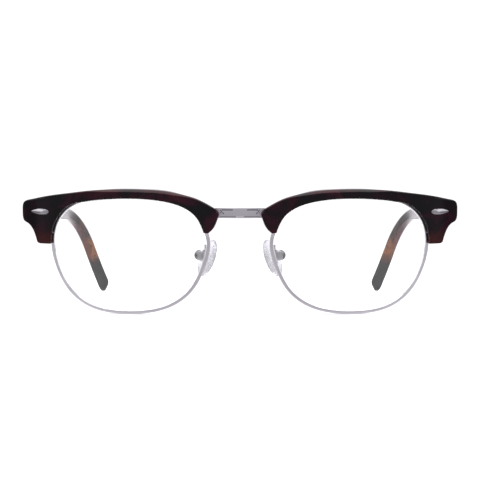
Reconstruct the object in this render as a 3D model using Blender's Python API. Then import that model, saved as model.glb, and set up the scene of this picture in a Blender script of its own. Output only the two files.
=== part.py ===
"""Browline half rim eyeglasses: acetate brows over metal eyewires, rivet hinged temples, rocking nose pads.

Everything on the front is laid out in one front frame: X across the face, Y towards the wearer's ears,
Z up the lens plane.  The front leans by PANTO, so its bottom goes back.  The shapes are written for the
wearer's left side (+X) and mirrored for the right side.
"""
from math import cos, hypot, pi, radians, sin, sqrt, tan

import bmesh
import bpy
import numpy as np
from mathutils import Vector

MM = 0.001
for item in list(bpy.data.objects):
    bpy.data.objects.remove(item, do_unlink=True)

# ---- driving dimensions (metres, degrees) ----
PANTO = 6.0                      # lean of the front
WRAP = 6.0                       # turn of each lens towards the temple
LENS_RADIUS = 0.130              # front surface radius of the lenses and eyewires
LENS_X = 0.03635                 # lens centre to the middle of the bridge
LENS_THICK = 0.0015
LENS_SIDES = 72
FRONT_LIFT = 0.01965             # lens centres above the table
DEPTH_SHIFT = 0.0708             # front frame origin ahead of the middle of the depth
BROW_FRONT = 0.0031              # brow face ahead of the lens surface
BROW_BACK = 0.0009
BUTT_Y = 0.0130                  # back face of the end pieces
HINGE_X = 0.0663
HINGE_Y = 0.0148
HINGE_Z = 0.0138
KNUCKLE_R = 0.0014
KNUCKLE_PITCH = 0.00122
KNUCKLE_GAP = 0.00006
HINGE_BORE_R = 0.00065
HINGE_SCREW_R = 0.00060
TEMPLE_OUT_X = 0.0730
TEMPLE_STRAIGHT_Y = 0.0970       # where the ear bend begins, measured level
TEMPLE_BEND_R = 0.0420
TEMPLE_BEND = 48.5
TEMPLE_LENGTH = 0.1460
TEMPLE_Z = 0.0337                # height of the straight part above the table
EAR_CURL = 2.6                   # inward bend of the ear part, per metre of depth squared
EAR_CURL_Y = 0.0740              # where the inward bend begins
CORE_R = 0.00045
CORE_BORE_R = 0.00075
BRIDGE_Z = 0.01405
BRIDGE_HEIGHT = 0.0034
BRIDGE_THICK = 0.0012
PAD_CENTRE = (0.0109, 0.0089, -0.0022)
PAD_SIZE = (0.0130, 0.0076, 0.0024)
PAD_SPLAY = 35.0
PAD_FLARE = 24.0
PAD_PIVOT = 0.0033               # pad centre to the pad screw
PAD_ARM_R = 0.00045
CUP_R = 1.75                     # pad cup, in millimetres like the other sizes along the pad's own axes
CUP_HALF = 1.14
CUP_SLOT = 0.58
LUG_EYE_R = 1.30
LOCK_W = 0.0070                  # height of the rim lock above the lens centre
LOCK_SCREW_OUT = 0.00175         # rim lock screw's distance outside the lens edge
LOCK_BORE_R = 0.00055
TAB_SCREW_OUT = 0.00180          # brow screw's distance outside the lens edge
TAB_REACH = 0.00262              # outer edge of the brow tabs outside the lens edge
TAB_BORE_R = 0.00056
RIVET_AT = (0.0302, 0.0141)      # rivet centre from the lens centre: towards the temple, up
FIT = 0.00005                    # gap between pieces that are soldered or pressed together

# lens outline seen along its own axis, millimetres: towards the temple, up
LENS_OUTLINE = [(-25.7, 5.0), (-24.4, 9.4), (-22.2, 13.3), (-18.8, 16.0), (-10.9, 18.5), (-0.3, 19.3),
                (10.0, 18.8), (19.0, 16.7), (23.6, 12.9), (26.3, 5.0), (24.7, -4.4), (20.6, -12.0),
                (14.1, -17.0), (3.0, -19.2), (-7.3, -18.5), (-14.4, -16.1), (-20.5, -10.9), (-24.2, -3.5)]
# eyewire section, millimetres: out from the lens edge, back from the lens surface
RIM_SECTION = [(-0.45, -0.60), (0.08, 0.0), (-0.45, 0.60), (-0.42, 0.95), (0.40, 0.95),
               (0.60, 0.72), (0.60, -0.72), (0.40, -0.95), (-0.42, -0.95)]
# brow stations: direction from the lens centre in degrees, outer outline point in millimetres
BROW_STATIONS = [(162.5, -26.1, 7.6), (160.8, -27.0, 8.4), (159.0, -27.8, 9.4), (156.5, -28.5, 10.9),
                 (153.5, -29.2, 13.0), (151.0, -29.3, 14.1), (148.5, -28.7, 15.1), (145.5, -27.2, 16.2),
                 (141.5, -24.8, 17.6), (136.5, -22.0, 18.9), (129.0, -18.0, 20.1), (120.0, -12.2, 21.3),
                 (105.0, -5.2, 21.85), (90.0, 1.0, 21.95), (72.0, 7.9, 21.75), (58.0, 14.0, 21.3),
                 (47.0, 20.2, 20.5), (40.0, 26.5, 19.6), (36.5, 31.0, 18.7), (33.5, 34.3, 17.9),
                 (31.8, 36.2, 17.35), (30.4, 37.2, 16.6), (29.2, 37.6, 15.4), (27.4, 37.6, 13.6),
                 (25.6, 37.5, 12.0), (24.2, 37.2, 11.0), (22.8, 36.6, 10.35), (21.2, 35.6, 9.95),
                 (19.4, 34.4, 9.2), (17.4, 33.6, 8.3), (15.4, 33.0, 7.3), (13.2, 32.5, 6.2),
                 (11.2, 32.15, 5.2), (9.6, 31.9, 4.4), (8.4, 31.6, 3.75), (7.6, 31.0, 3.45)]
# pad arm from the back of the eyewire towards the front cheek of its cup, millimetres in the front frame
PAD_ARM_ROUTE = [(10.75, 1.03, 3.0), (11.25, 2.7, 2.85), (11.6, 4.6, 2.65), (11.55, 6.5, 2.4)]
RIVET_OUTLINE = [(34.0, 13.95), (32.6, 14.6), (30.8, 15.0), (29.2, 14.95), (27.9, 14.65), (27.4, 14.1),
                 (27.9, 13.5), (29.2, 13.2), (30.8, 13.15), (32.6, 13.45)]
BROW_TABS = [(118.0, "nasal"), (56.0, "temporal")]
PSI = radians(WRAP)
TILT = radians(PANTO)


# ---- curves ----
def spline(points, count, closed=False):
    """Smooth curve through the points, resampled at even steps along its length."""
    pts = np.array(points, float)
    if closed:
        pts = np.vstack([pts, pts[:1]])
    step = np.sqrt((np.diff(pts, axis=0) ** 2).sum(axis=1))
    knot = np.concatenate([[0.0], np.cumsum(step)])
    n = len(knot)
    rows = np.zeros((n, n))
    rhs = np.zeros((n, pts.shape[1]))
    slope = np.diff(pts, axis=0) / step[:, None]
    for i in range(1, n - 1):
        rows[i, i - 1] = step[i - 1]
        rows[i, i] = 2.0 * (step[i - 1] + step[i])
        rows[i, i + 1] = step[i]
        rhs[i] = 6.0 * (slope[i] - slope[i - 1])
    if closed:
        rows[0, 0] = 1.0
        rows[0, n - 1] = -1.0
        rows[n - 1, 0] = 2.0 * step[0]
        rows[n - 1, 1] = step[0]
        rows[n - 1, n - 2] = step[-1]
        rows[n - 1, n - 1] = 2.0 * step[-1]
        rhs[n - 1] = 6.0 * (slope[0] - slope[-1])
    else:
        rows[0, 0] = 1.0
        rows[n - 1, n - 1] = 1.0
    bend = np.linalg.solve(rows, rhs)
    fine = np.linspace(0.0, knot[-1], 1441)
    seg = np.clip(np.searchsorted(knot, fine, side="right") - 1, 0, n - 2)
    h = step[seg][:, None]
    a = ((knot[seg + 1] - fine)[:, None]) / h
    b = 1.0 - a
    dense = a * pts[seg] + b * pts[seg + 1]
    dense = dense + ((a ** 3 - a) * bend[seg] + (b ** 3 - b) * bend[seg + 1]) * h * h / 6.0
    return resample(dense, count, closed)


def resample(dense, count, closed=False):
    gone = np.sqrt((np.diff(dense, axis=0) ** 2).sum(axis=1))
    run = np.concatenate([[0.0], np.cumsum(gone)])
    want = np.linspace(0.0, run[-1], count + 1)[:-1] if closed else np.linspace(0.0, run[-1], count)
    return np.stack([np.interp(want, run, dense[:, k]) for k in range(dense.shape[1])], axis=1)


def smooth(value, low, high):
    t = min(1.0, max(0.0, (value - low) / (high - low)))
    return t * t * (3.0 - 2.0 * t)


LENS_FINE = spline([(u * MM, w * MM) for u, w in LENS_OUTLINE], 1440, closed=True)


def outline_at(angle):
    """Lens outline point and outward normal in a direction from the lens centre."""
    ray = np.array([cos(radians(angle)), sin(radians(angle))])
    unit = LENS_FINE / np.sqrt((LENS_FINE ** 2).sum(axis=1))[:, None]
    i = int(np.argmax(unit @ ray))
    back = LENS_FINE[i - 3]
    ahead = LENS_FINE[(i + 3) % len(LENS_FINE)]
    run = ahead - back
    run = run / hypot(run[0], run[1])
    normal = np.array([run[1], -run[0]])
    if normal @ ray < 0.0:
        normal = -normal
    return LENS_FINE[i], normal


def sag(u, w):
    return LENS_RADIUS - sqrt(LENS_RADIUS ** 2 - u * u - w * w)


def place(u, w, d):
    """Front frame point for a lens position and a depth behind the lens surface."""
    deep = sag(u, w) + d
    return (LENS_X + u * cos(PSI) - deep * sin(PSI), u * sin(PSI) + deep * cos(PSI), w)


def brow_point(u, w, d):
    """As place, with the end piece swept back past the lens edge and its slant taken out."""
    square = smooth(u, 0.026, 0.030)
    x, y, z = place(u, w, d)
    x = x + (d + BROW_FRONT - 0.0006) * sin(PSI) * square
    return (x, y + 30.0 * max(0.0, u - 0.027) ** 2, z)


def level_to_front(x, y, z):
    """Front frame point for a level point: y back from the front origin, z above the table."""
    up = z - FRONT_LIFT
    return (x, y * cos(TILT) + up * sin(TILT), up * cos(TILT) - y * sin(TILT))


# ---- bodies ----
MATERIALS = {}
HOMES = {}


def material(name, colour, roughness, metallic):
    mat = bpy.data.materials.new(name)
    mat.use_nodes = True
    shader = mat.node_tree.nodes["Principled BSDF"]
    shader.inputs["Base Color"].default_value = (*colour, 1.0)
    shader.inputs["Roughness"].default_value = roughness
    shader.inputs["Metallic"].default_value = metallic
    MATERIALS[name] = mat


LOOKS = {"acetate": ((0.035, 0.012, 0.014), 0.12, 0.0), "metal": ((0.72, 0.71, 0.73), 0.22, 1.0),
         "steel": ((0.62, 0.62, 0.64), 0.30, 1.0), "lens": ((0.95, 0.97, 0.97), 0.02, 0.0),
         "silicone": ((0.86, 0.86, 0.84), 0.30, 0.0)}


def look_of(name, kind):
    colour, roughness, metallic = LOOKS[kind]
    material(name + "_" + kind, colour, roughness, metallic)
    return MATERIALS[name + "_" + kind]


def mirrored(points, side):
    return [Vector((side * p[0], p[1], p[2])) for p in points]


def body(name, points, faces, side, kind=None, home=(0.0, 0.0, 0.0), parent=None, round_faces=True):
    """One mesh object in the front frame, with its origin at home."""
    base = Vector((side * home[0], home[1], home[2]))
    mesh = bpy.data.meshes.new(name)
    verts = [v - base for v in mirrored(points, side)]
    order = faces if side > 0 else [tuple(reversed(f)) for f in faces]
    mesh.from_pydata(verts, [], order)
    work = bmesh.new()
    work.from_mesh(mesh)
    bmesh.ops.recalc_face_normals(work, faces=work.faces)
    work.to_mesh(mesh)
    work.free()
    for poly in mesh.polygons:
        poly.use_smooth = round_faces
    obj = bpy.data.objects.new(name, mesh)
    bpy.context.scene.collection.objects.link(obj)
    obj.location = base
    if kind:
        mesh.materials.append(look_of(name, kind))
    if parent is not None:
        obj.parent = parent
        obj.location = base - HOMES.get(parent.name, Vector((0.0, 0.0, 0.0)))
    return obj


def ring_faces(rings, count, start=0):
    faces = []
    for r in range(rings - 1):
        a = start + r * count
        b = a + count
        for i in range(count):
            j = (i + 1) % count
            faces.append((a + i, a + j, b + j, b + i))
    return faces


def skin(rings):
    """Points and faces of a closed tube through rings of equal length, capped at both ends."""
    count = len(rings[0])
    points = [p for ring in rings for p in ring]
    faces = ring_faces(len(rings), count)
    faces.append(tuple(range(count - 1, -1, -1)))
    last = (len(rings) - 1) * count
    faces.append(tuple(range(last, last + count)))
    return points, faces


def box(low, high):
    x0, y0, z0 = low
    x1, y1, z1 = high
    ring0 = [(x0, y0, z0), (x1, y0, z0), (x1, y1, z0), (x0, y1, z0)]
    ring1 = [(x, y, z1) for x, y, z in ring0]
    return skin([ring0, ring1])


def rod(start, end, radius, sides=16, cone=None):
    """Cylinder between two points; cone gives a different radius at the end."""
    a = Vector(start)
    b = Vector(end)
    axis = (b - a).normalized()
    turn = axis.to_track_quat("Z", "Y")
    rings = []
    for centre, r in ((a, radius), (b, radius if cone is None else cone)):
        ring = []
        for i in range(sides):
            angle = 2.0 * pi * (i + 0.5) / sides
            ring.append(tuple(centre + turn @ Vector((r * cos(angle), r * sin(angle), 0.0))))
        rings.append(ring)
    return skin(rings)


def tube(path, radius, sides=10):
    """Round wire along a path of points."""
    path = [Vector(p) for p in path]
    rings = []
    across = None
    for i, centre in enumerate(path):
        run = path[min(i + 1, len(path) - 1)] - path[max(i - 1, 0)]
        run.normalize()
        if across is None:
            across = run.cross(Vector((0.0, 0.0, 1.0)))
            if across.length < 0.1:
                across = run.cross(Vector((1.0, 0.0, 0.0)))
        across = (across - run * across.dot(run)).normalized()
        other = run.cross(across)
        ring = []
        for k in range(sides):
            angle = 2.0 * pi * k / sides
            ring.append(tuple(centre + across * radius * cos(angle) + other * radius * sin(angle)))
        rings.append(ring)
    return skin(rings)


def combine(target, shape, side, operation, tag):
    """Boolean of a target body with points and faces given in the front frame."""
    tool = body(target.name + "_" + tag, shape[0], shape[1], side)
    tool.parent = target.parent
    tool.location = -HOMES.get(target.parent.name, Vector((0.0, 0.0, 0.0)))
    tool.hide_render = True
    tool.display_type = "WIRE"
    step = target.modifiers.new(tag, "BOOLEAN")
    step.operation = operation
    step.solver = "EXACT"
    step.object = tool


def frame_empty(name, home, parent, side=1.0):
    empty = bpy.data.objects.new(name, None)
    bpy.context.scene.collection.objects.link(empty)
    here = Vector((side * home[0], home[1], home[2]))
    empty.parent = parent
    empty.location = here
    HOMES[empty.name] = here
    return empty


# ---- root frame: leaned and lifted off the table ----
front = bpy.data.objects.new("front_frame", None)
bpy.context.scene.collection.objects.link(front)
front.location = (0.0, -DEPTH_SHIFT, FRONT_LIFT)
front.rotation_euler = (TILT, 0.0, 0.0)


# ---- eyewire and lens ----
def lock_start():
    """Index on the fine outline at the temple side height of the rim lock."""
    miss = np.abs(LENS_FINE[:, 1] - LOCK_W) + (LENS_FINE[:, 0] < 0.0)
    return int(np.argmin(miss))


LOCK_I = lock_start()
LOCK_UV = LENS_FINE[LOCK_I]
LOCK_RUN = LENS_FINE[(LOCK_I + 3) % 1440] - LENS_FINE[LOCK_I - 3]
LOCK_RUN = LOCK_RUN / hypot(LOCK_RUN[0], LOCK_RUN[1])
if LOCK_RUN[1] < 0.0:
    LOCK_RUN = -LOCK_RUN
LOCK_OUT = np.array([LOCK_RUN[1], -LOCK_RUN[0]])
if LOCK_OUT[0] < 0.0:
    LOCK_OUT = -LOCK_OUT


def lock_point(r, t, d):
    u, w = LOCK_UV + LOCK_OUT * r + LOCK_RUN * t
    return place(u, w, d)


def lock_box(r0, r1, t0, t1, d0, d1):
    ring0 = [lock_point(r, t0, d) for r, d in ((r0, d0), (r1, d0), (r1, d1), (r0, d1))]
    ring1 = [lock_point(r, t1, d) for r, d in ((r0, d0), (r1, d0), (r1, d1), (r0, d1))]
    return skin([ring0, ring1])


def normals_of(loop, closed):
    ahead = np.roll(loop, -1, axis=0)
    back = np.roll(loop, 1, axis=0)
    if not closed:
        ahead[-1] = loop[-1]
        back[0] = loop[0]
    run = ahead - back
    run = run / np.sqrt((run ** 2).sum(axis=1))[:, None]
    out = np.stack([run[:, 1], -run[:, 0]], axis=1)
    flip = np.sign((out * loop).sum(axis=1))
    return out * flip[:, None]


def eyewire(side, tag):
    order = [LENS_FINE[(LOCK_I + k) % 1440] for k in range(1, 1440)]
    path = resample(np.array(order), 84)
    out = normals_of(path, False)
    rings = []
    for (u, w), n in zip(path, out):
        rings.append([place(u + n[0] * r * MM, w + n[1] * r * MM, d * MM) for r, d in RIM_SECTION])
    points, faces = skin(rings)
    body("eyewire_" + tag, points, faces, side, "metal", parent=front, round_faces=False)


def lens(side, tag):
    edge = resample(np.vstack([LENS_FINE, LENS_FINE[:1]]), LENS_SIDES, closed=True)
    out = normals_of(edge, True)
    half = LENS_THICK / 2.0
    inner = edge - out * 0.60 * MM
    points = [place(0.0, 0.0, -half)]
    levels = (0.35, 0.7, 1.0)
    for k in levels:
        points += [place(u * k, w * k, -half) for u, w in inner]
    for r, d in ((-0.55, -0.38), (-0.10, 0.0), (-0.55, 0.38)):
        ring = edge + out * r * MM
        points += [place(u, w, d * MM) for u, w in ring]
    for k in reversed(levels):
        points += [place(u * k, w * k, half) for u, w in inner]
    points.append(place(0.0, 0.0, half))
    rings = len(levels) * 2 + 3
    faces = ring_faces(rings, LENS_SIDES, start=1)
    last = 1 + (rings - 1) * LENS_SIDES
    for i in range(LENS_SIDES):
        j = (i + 1) % LENS_SIDES
        faces.append((0, 1 + j, 1 + i))
        faces.append((len(points) - 1, last + i, last + j))
    body("lens_" + tag, points, faces, side, "lens", parent=front)


def lock_rod(t0, t1, radius):
    """Cylinder on the rim lock's screw axis, between two distances along it."""
    return rod(lock_point(LOCK_SCREW_OUT, t0, 0.0), lock_point(LOCK_SCREW_OUT, t1, 0.0), radius)


def rim_lock(side, tag):
    bore = lock_rod(-4.0 * MM, 4.0 * MM, LOCK_BORE_R)
    for part, t0, t1 in (("upper", 0.10, 1.70), ("lower", -1.70, -0.10)):
        shape = lock_box(0.66 * MM, 2.80 * MM, t0 * MM, t1 * MM, -0.85 * MM, 0.95 * MM)
        block = body("rim_lock_" + part + "_" + tag, shape[0], shape[1], side, "metal", parent=front,
                     round_faces=False)
        combine(block, bore, side, "DIFFERENCE", "bore")
    shank = lock_rod(-1.70 * MM, 1.60 * MM, 0.48 * MM)
    screw = body("rim_lock_screw_" + tag, shank[0], shank[1], side, "steel", parent=front)
    combine(screw, lock_rod(-2.20 * MM, -1.75 * MM, 0.85 * MM), side, "UNION", "head")
    combine(screw, lock_rod(-1.90 * MM, -1.50 * MM, 0.47 * MM), side, "UNION", "neck")
    slot = lock_box(0.60 * MM, 2.90 * MM, -2.60 * MM, -2.02 * MM, -0.13 * MM, 0.13 * MM)
    combine(screw, slot, side, "DIFFERENCE", "slot")


# ---- brow ----
def brow_ring(start, end, inner_r, nasal, normal):
    """Section of the brow between its inner and outer outline, as front frame points."""
    run = end - start
    width = hypot(run[0], run[1])
    run = run / width
    k = min(1.0, width / (3.2 * MM)) * MM
    top = k * (0.35 + 0.65 * smooth(-end[0], -0.024, -0.012))
    step = min(width * 0.72, (0.80 * MM - inner_r) / max(0.5, float(run @ normal)))

    def at(t):
        return start + run * t

    def front_at(t, d):
        u, w = at(t)
        return brow_point(u, w, d - BROW_FRONT)

    def back_at(t):
        u, w = at(t)
        thin = -1.0 * MM * nasal + BROW_BACK * (1.0 - nasal)
        x, y, z = brow_point(u, w, thin)
        sweep = (BUTT_Y - y) * smooth(u, 0.0268, 0.0284) * smooth(w, 0.0082, 0.0104)
        return (x, y + sweep, z - sweep * tan(TILT))

    ring = [front_at(0.0, 1.1 * k), front_at(0.35 * k, 0.4 * k), front_at(1.0 * k, 0.06 * k)]
    for i in range(1, 4):
        ring.append(front_at(k + (width - k - top) * i / 4.0, 0.0))
    ring += [front_at(width - top, 0.06 * top), front_at(width - 0.35 * top, 0.4 * top)]
    ring.append(front_at(width, 1.1 * top))
    edge = back_at(width)
    rim = 0.3 * k
    ring.append((edge[0], edge[1] - rim, edge[2]))
    for i in range(0, 6):
        ring.append(back_at(width - rim + (step - width + rim) * i / 5.0))
    seat = -1.05 * MM
    u, w = at(step)
    ring.append(brow_point(u, w, seat))
    ring.append(brow_point(start[0], start[1], seat))
    return ring


def brow_sections():
    """Rings of the brow from its nasal point over the lens to the foot of its leg."""
    weight = 0.35
    sections = []
    for a, u, w in spline([(angle * weight, u, w) for angle, u, w in BROW_STATIONS], 58):
        angle = a / weight
        base, normal = outline_at(angle)
        inner_r = (-0.50 + 0.80 * smooth(-angle, -52.0, -36.0)) * MM
        start = base + normal * inner_r
        nasal = smooth(angle, 133.0, 141.0)
        sections.append(brow_ring(start, np.array([u, w]) * MM, inner_r, nasal, normal))
    return sections


def tab_frame(angle):
    base, normal = outline_at(angle)
    along = np.array([normal[1], -normal[0]])

    def at(r, t, d):
        u, w = base + normal * r + along * t
        return place(u, w, d)
    return at


def tab_box(at, r0, r1, t0, t1, d0, d1):
    ring0 = [at(r, t0, d) for r, d in ((r0, d0), (r1, d0), (r1, d1), (r0, d1))]
    ring1 = [at(r, t1, d) for r, d in ((r0, d0), (r1, d0), (r1, d1), (r0, d1))]
    return skin([ring0, ring1])


def brow(side, tag):
    points, faces = skin(brow_sections())
    piece = body("brow_" + tag, points, faces, side, "acetate", parent=front)
    x, y, z = brow_point(*RIVET_AT, -BROW_FRONT)
    hole = rod((x, y - 3.0 * MM, z), (x, BUTT_Y - 1.0 * MM, z), 0.68 * MM)
    combine(piece, hole, side, "DIFFERENCE", "rivet_hole")
    for angle, where in BROW_TABS:
        at = tab_frame(angle)
        bore = rod(at(TAB_SCREW_OUT, 0.0, -1.0 * MM), at(TAB_SCREW_OUT, 0.0, 3.0 * MM), TAB_BORE_R)
        combine(piece, bore, side, "DIFFERENCE", "tab_hole_" + where)
        shape = tab_box(at, -0.10 * MM, TAB_REACH, -1.5 * MM, 1.5 * MM, 1.0 * MM, 1.6 * MM)
        plate = body("brow_tab_" + where + "_" + tag, shape[0], shape[1], side, "metal", parent=front,
                     round_faces=False)
        combine(plate, bore, side, "DIFFERENCE", "bore")
        shank = rod(at(TAB_SCREW_OUT, 0.0, -0.9 * MM), at(TAB_SCREW_OUT, 0.0, 1.9 * MM), 0.46 * MM)
        head = rod(at(TAB_SCREW_OUT, 0.0, 1.78 * MM), at(TAB_SCREW_OUT, 0.0, 2.25 * MM), 0.80 * MM,
                   cone=0.62 * MM)
        slot = tab_box(at, 0.8 * MM, 2.8 * MM, -0.13 * MM, 0.13 * MM, 2.07 * MM, 2.6 * MM)
        screw = body("brow_screw_" + where + "_" + tag, shank[0], shank[1], side, "steel", parent=front)
        combine(screw, head, side, "UNION", "head")
        combine(screw, slot, side, "DIFFERENCE", "slot")
    pocket = lock_box(-0.2 * MM, 3.15 * MM, -2.5 * MM, 2.0 * MM, -1.10 * MM, 9.0 * MM)
    combine(piece, pocket, side, "DIFFERENCE", "lock_pocket")
    leaf = box((HINGE_X - 1.75 * MM, BUTT_Y - 1.27 * MM, HINGE_Z - 3.12 * MM),
               (HINGE_X + 1.65 * MM, BUTT_Y + 3.0 * MM, HINGE_Z + 3.12 * MM))
    combine(piece, leaf, side, "DIFFERENCE", "leaf_pocket")


def rivet(side, tag):
    loop = spline([(u * MM, w * MM) for u, w in RIVET_OUTLINE], 24, closed=True)
    centre = np.array(RIVET_AT)
    points = []
    for scale, lift in ((0.5, 0.06), (1.0, 0.06), (1.0, 0.20), (0.80, 0.42), (0.45, 0.56)):
        for u, w in centre + (loop - centre) * scale:
            points.append(brow_point(u, w, -BROW_FRONT - lift * MM))
    shape = skin([points[i * 24:(i + 1) * 24] for i in range(5)])
    cap = body("rivet_" + tag, shape[0], shape[1], side, "metal", parent=front)
    x, y, z = brow_point(centre[0], centre[1], -BROW_FRONT)
    shank = rod((x, y - 0.10 * MM, z), (x, BUTT_Y - 1.35 * MM, z), 0.60 * MM)
    combine(cap, shank, side, "UNION", "shank")


# ---- hinge ----
def knuckle_span(index):
    """Lower and upper height of one of the five knuckles, counted from the bottom."""
    low = HINGE_Z + (index - 2.5) * KNUCKLE_PITCH + KNUCKLE_GAP / 2.0
    return low, low + KNUCKLE_PITCH - KNUCKLE_GAP


def hinge_leaf(name, side, home, parent, plate, arm_low, arm_high, turns):
    """Plate with its own knuckles, each on an arm, bored for the hinge screw."""
    leaf = body(name, plate[0], plate[1], side, "metal", home, parent, round_faces=False)
    for i in turns:
        z0, z1 = knuckle_span(i)
        turn = rod((HINGE_X, HINGE_Y, z0), (HINGE_X, HINGE_Y, z1), KNUCKLE_R)
        combine(leaf, turn, side, "UNION", "knuckle_%d" % i)
        arm = box((arm_low[0], arm_low[1], z0 + 1e-6), (arm_high[0], arm_high[1], z1 - 1e-6))
        combine(leaf, arm, side, "UNION", "arm_%d" % i)
    bore = rod((HINGE_X, HINGE_Y, HINGE_Z - 5 * MM), (HINGE_X, HINGE_Y, HINGE_Z + 5 * MM), HINGE_BORE_R)
    combine(leaf, bore, side, "DIFFERENCE", "bore")


def hinge(side, tag, pivot):
    plate = box((HINGE_X - 1.65 * MM, BUTT_Y - 1.20 * MM, HINGE_Z - 3.02 * MM),
                (HINGE_X + 1.55 * MM, BUTT_Y, HINGE_Z + 3.02 * MM))
    hinge_leaf("hinge_front_leaf_" + tag, side, (0.0, 0.0, 0.0), front, plate,
               (HINGE_X - 1.15 * MM, BUTT_Y - 0.5 * MM), (HINGE_X + 1.05 * MM, HINGE_Y), (0, 2, 4))
    plate = box((HINGE_X + 1.90 * MM, HINGE_Y - 1.10 * MM, HINGE_Z - 2.30 * MM),
                (HINGE_X + 3.10 * MM, HINGE_Y + 8.2 * MM, HINGE_Z + 2.30 * MM))
    hinge_leaf("hinge_temple_leaf_" + tag, side, (HINGE_X, HINGE_Y, HINGE_Z), pivot, plate,
               (HINGE_X, HINGE_Y - 1.0 * MM), (HINGE_X + 2.3 * MM, HINGE_Y + 1.1 * MM), (1, 3))
    half = 2.5 * KNUCKLE_PITCH
    top = HINGE_Z + half
    shank = rod((HINGE_X, HINGE_Y, HINGE_Z - half), (HINGE_X, HINGE_Y, top + 0.3 * MM), HINGE_SCREW_R)
    head = rod((HINGE_X, HINGE_Y, top + 0.05 * MM), (HINGE_X, HINGE_Y, top + 0.55 * MM), 1.15 * MM,
               cone=0.95 * MM)
    screw = body("hinge_screw_" + tag, shank[0], shank[1], side, "steel", parent=front)
    combine(screw, head, side, "UNION", "head")
    slot = box((HINGE_X - 2 * MM, HINGE_Y - 0.17 * MM, top + 0.35 * MM),
               (HINGE_X + 2 * MM, HINGE_Y + 0.17 * MM, top + 1 * MM))
    combine(screw, slot, side, "DIFFERENCE", "slot")


# ---- temple ----
def ear_inward(y):
    """How far the ear part has bent in towards the head at a depth."""
    return EAR_CURL * max(0.0, y - EAR_CURL_Y) ** 2


def temple_centre(s):
    """Level centre point, lean of the ear part, and section size, s along the temple from its front end."""
    begin = BUTT_Y * cos(TILT) - HINGE_Z * sin(TILT)
    straight = TEMPLE_STRAIGHT_Y - begin
    bend = radians(TEMPLE_BEND)
    arc = TEMPLE_BEND_R * bend
    if s <= straight:
        y, z, lean = begin + s, TEMPLE_Z, 0.0
    elif s <= straight + arc:
        lean = (s - straight) / TEMPLE_BEND_R
        y = TEMPLE_STRAIGHT_Y + TEMPLE_BEND_R * sin(lean)
        z = TEMPLE_Z - TEMPLE_BEND_R * (1.0 - cos(lean))
    else:
        lean = bend
        more = s - straight - arc
        y = TEMPLE_STRAIGHT_Y + TEMPLE_BEND_R * sin(bend) + more * cos(bend)
        z = TEMPLE_Z - TEMPLE_BEND_R * (1.0 - cos(bend)) - more * sin(bend)
    fade = smooth(s, 0.0, 0.045)
    z = z + (1.0 - fade) * 0.85 * MM
    tail = smooth(s, 0.095, 0.128)
    tall = (6.6 * (1.0 - fade) + 4.6 * fade + 0.9 * tail) * MM
    thick = (4.2 * (1.0 - fade) + 2.7 * fade + 0.1 * tail) * MM
    end = TEMPLE_LENGTH - s
    if end < 4.0 * MM:
        round_off = sqrt(max(0.0, 1.0 - (1.0 - end / (4.0 * MM)) ** 2))
        tall = tall * (0.30 + 0.70 * round_off)
        thick = thick * (0.45 + 0.55 * round_off)
    x = TEMPLE_OUT_X - thick / 2.0 - ear_inward(y)
    return x, y, z, lean, tall, thick


def temple_section(s):
    x, y, z, lean, tall, thick = temple_centre(s)
    ring = []
    c = min(1.1 * MM, thick * 0.36)
    hx = thick / 2.0
    hz = tall / 2.0
    for sx, sz in ((1, 1), (-1, 1), (-1, -1), (1, -1)):
        corner = [(hx, hz - c), (hx - 0.29 * c, hz - 0.29 * c), (hx - c, hz)]
        if sx * sz < 0:
            corner.reverse()
        ring += [(sx * a, sz * b) for a, b in corner]
    points = []
    for a, b in ring:
        deep = y + b * sin(lean)
        points.append(level_to_front(x + a + ear_inward(y) - ear_inward(deep), deep, z + b * cos(lean)))
    return points


def temple(side, tag, pivot):
    stops = [0.0, 0.008, 0.016, 0.024, 0.034, 0.045, 0.063, 0.076]
    stops += [0.0855 + 0.0355 * i / 10.0 for i in range(11)]
    stops += [0.128, 0.135]
    stops += [TEMPLE_LENGTH - rest * MM for rest in (5.3, 3.1, 1.5, 0.5, 0.0)]
    rings = [temple_section(s) for s in stops]
    square = []
    for x, y, z in rings[0]:
        square.append((x, BUTT_Y + 0.08 * MM, z))
    rings[0] = square
    home = (HINGE_X, HINGE_Y, HINGE_Z)
    points, faces = skin(rings)
    piece = body("temple_" + tag, points, faces, side, "acetate", home, pivot)
    path = []
    for i in range(28):
        x, y, z, lean, tall, thick = temple_centre(-0.002 + 0.130 * i / 27.0)
        path.append(level_to_front(x, y, z))
    combine(piece, tube(path, CORE_BORE_R, 6), side, "DIFFERENCE", "core_channel")
    pocket = box((HINGE_X + 1.0 * MM, BUTT_Y - 2.0 * MM, HINGE_Z - 2.40 * MM),
                 (HINGE_X + 3.18 * MM, HINGE_Y + 8.3 * MM, HINGE_Z + 2.40 * MM))
    combine(piece, pocket, side, "DIFFERENCE", "leaf_pocket")
    path = []
    for i in range(28):
        x, y, z, lean, tall, thick = temple_centre(0.004 + 0.122 * i / 27.0)
        path.append(level_to_front(x, y, z))
    points, faces = tube(path, CORE_R, 6)
    body("temple_core_" + tag, points, faces, side, "steel", home, pivot)


# ---- bridge ----
def rim_side_x(z):
    """How far out the bridge may reach at a height before it meets the eyewire."""
    outer = LENS_FINE + normals_of(LENS_FINE, True) * 0.80 * MM
    nose = outer[(outer[:, 0] < -0.012) & (outer[:, 1] > 0.006)]
    nose = nose[np.argsort(nose[:, 1])]
    u = np.interp(z, nose[:, 1], nose[:, 0])
    return min(place(u, z, d * MM)[0] for d in (-0.95, 0.95)) - FIT


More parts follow.
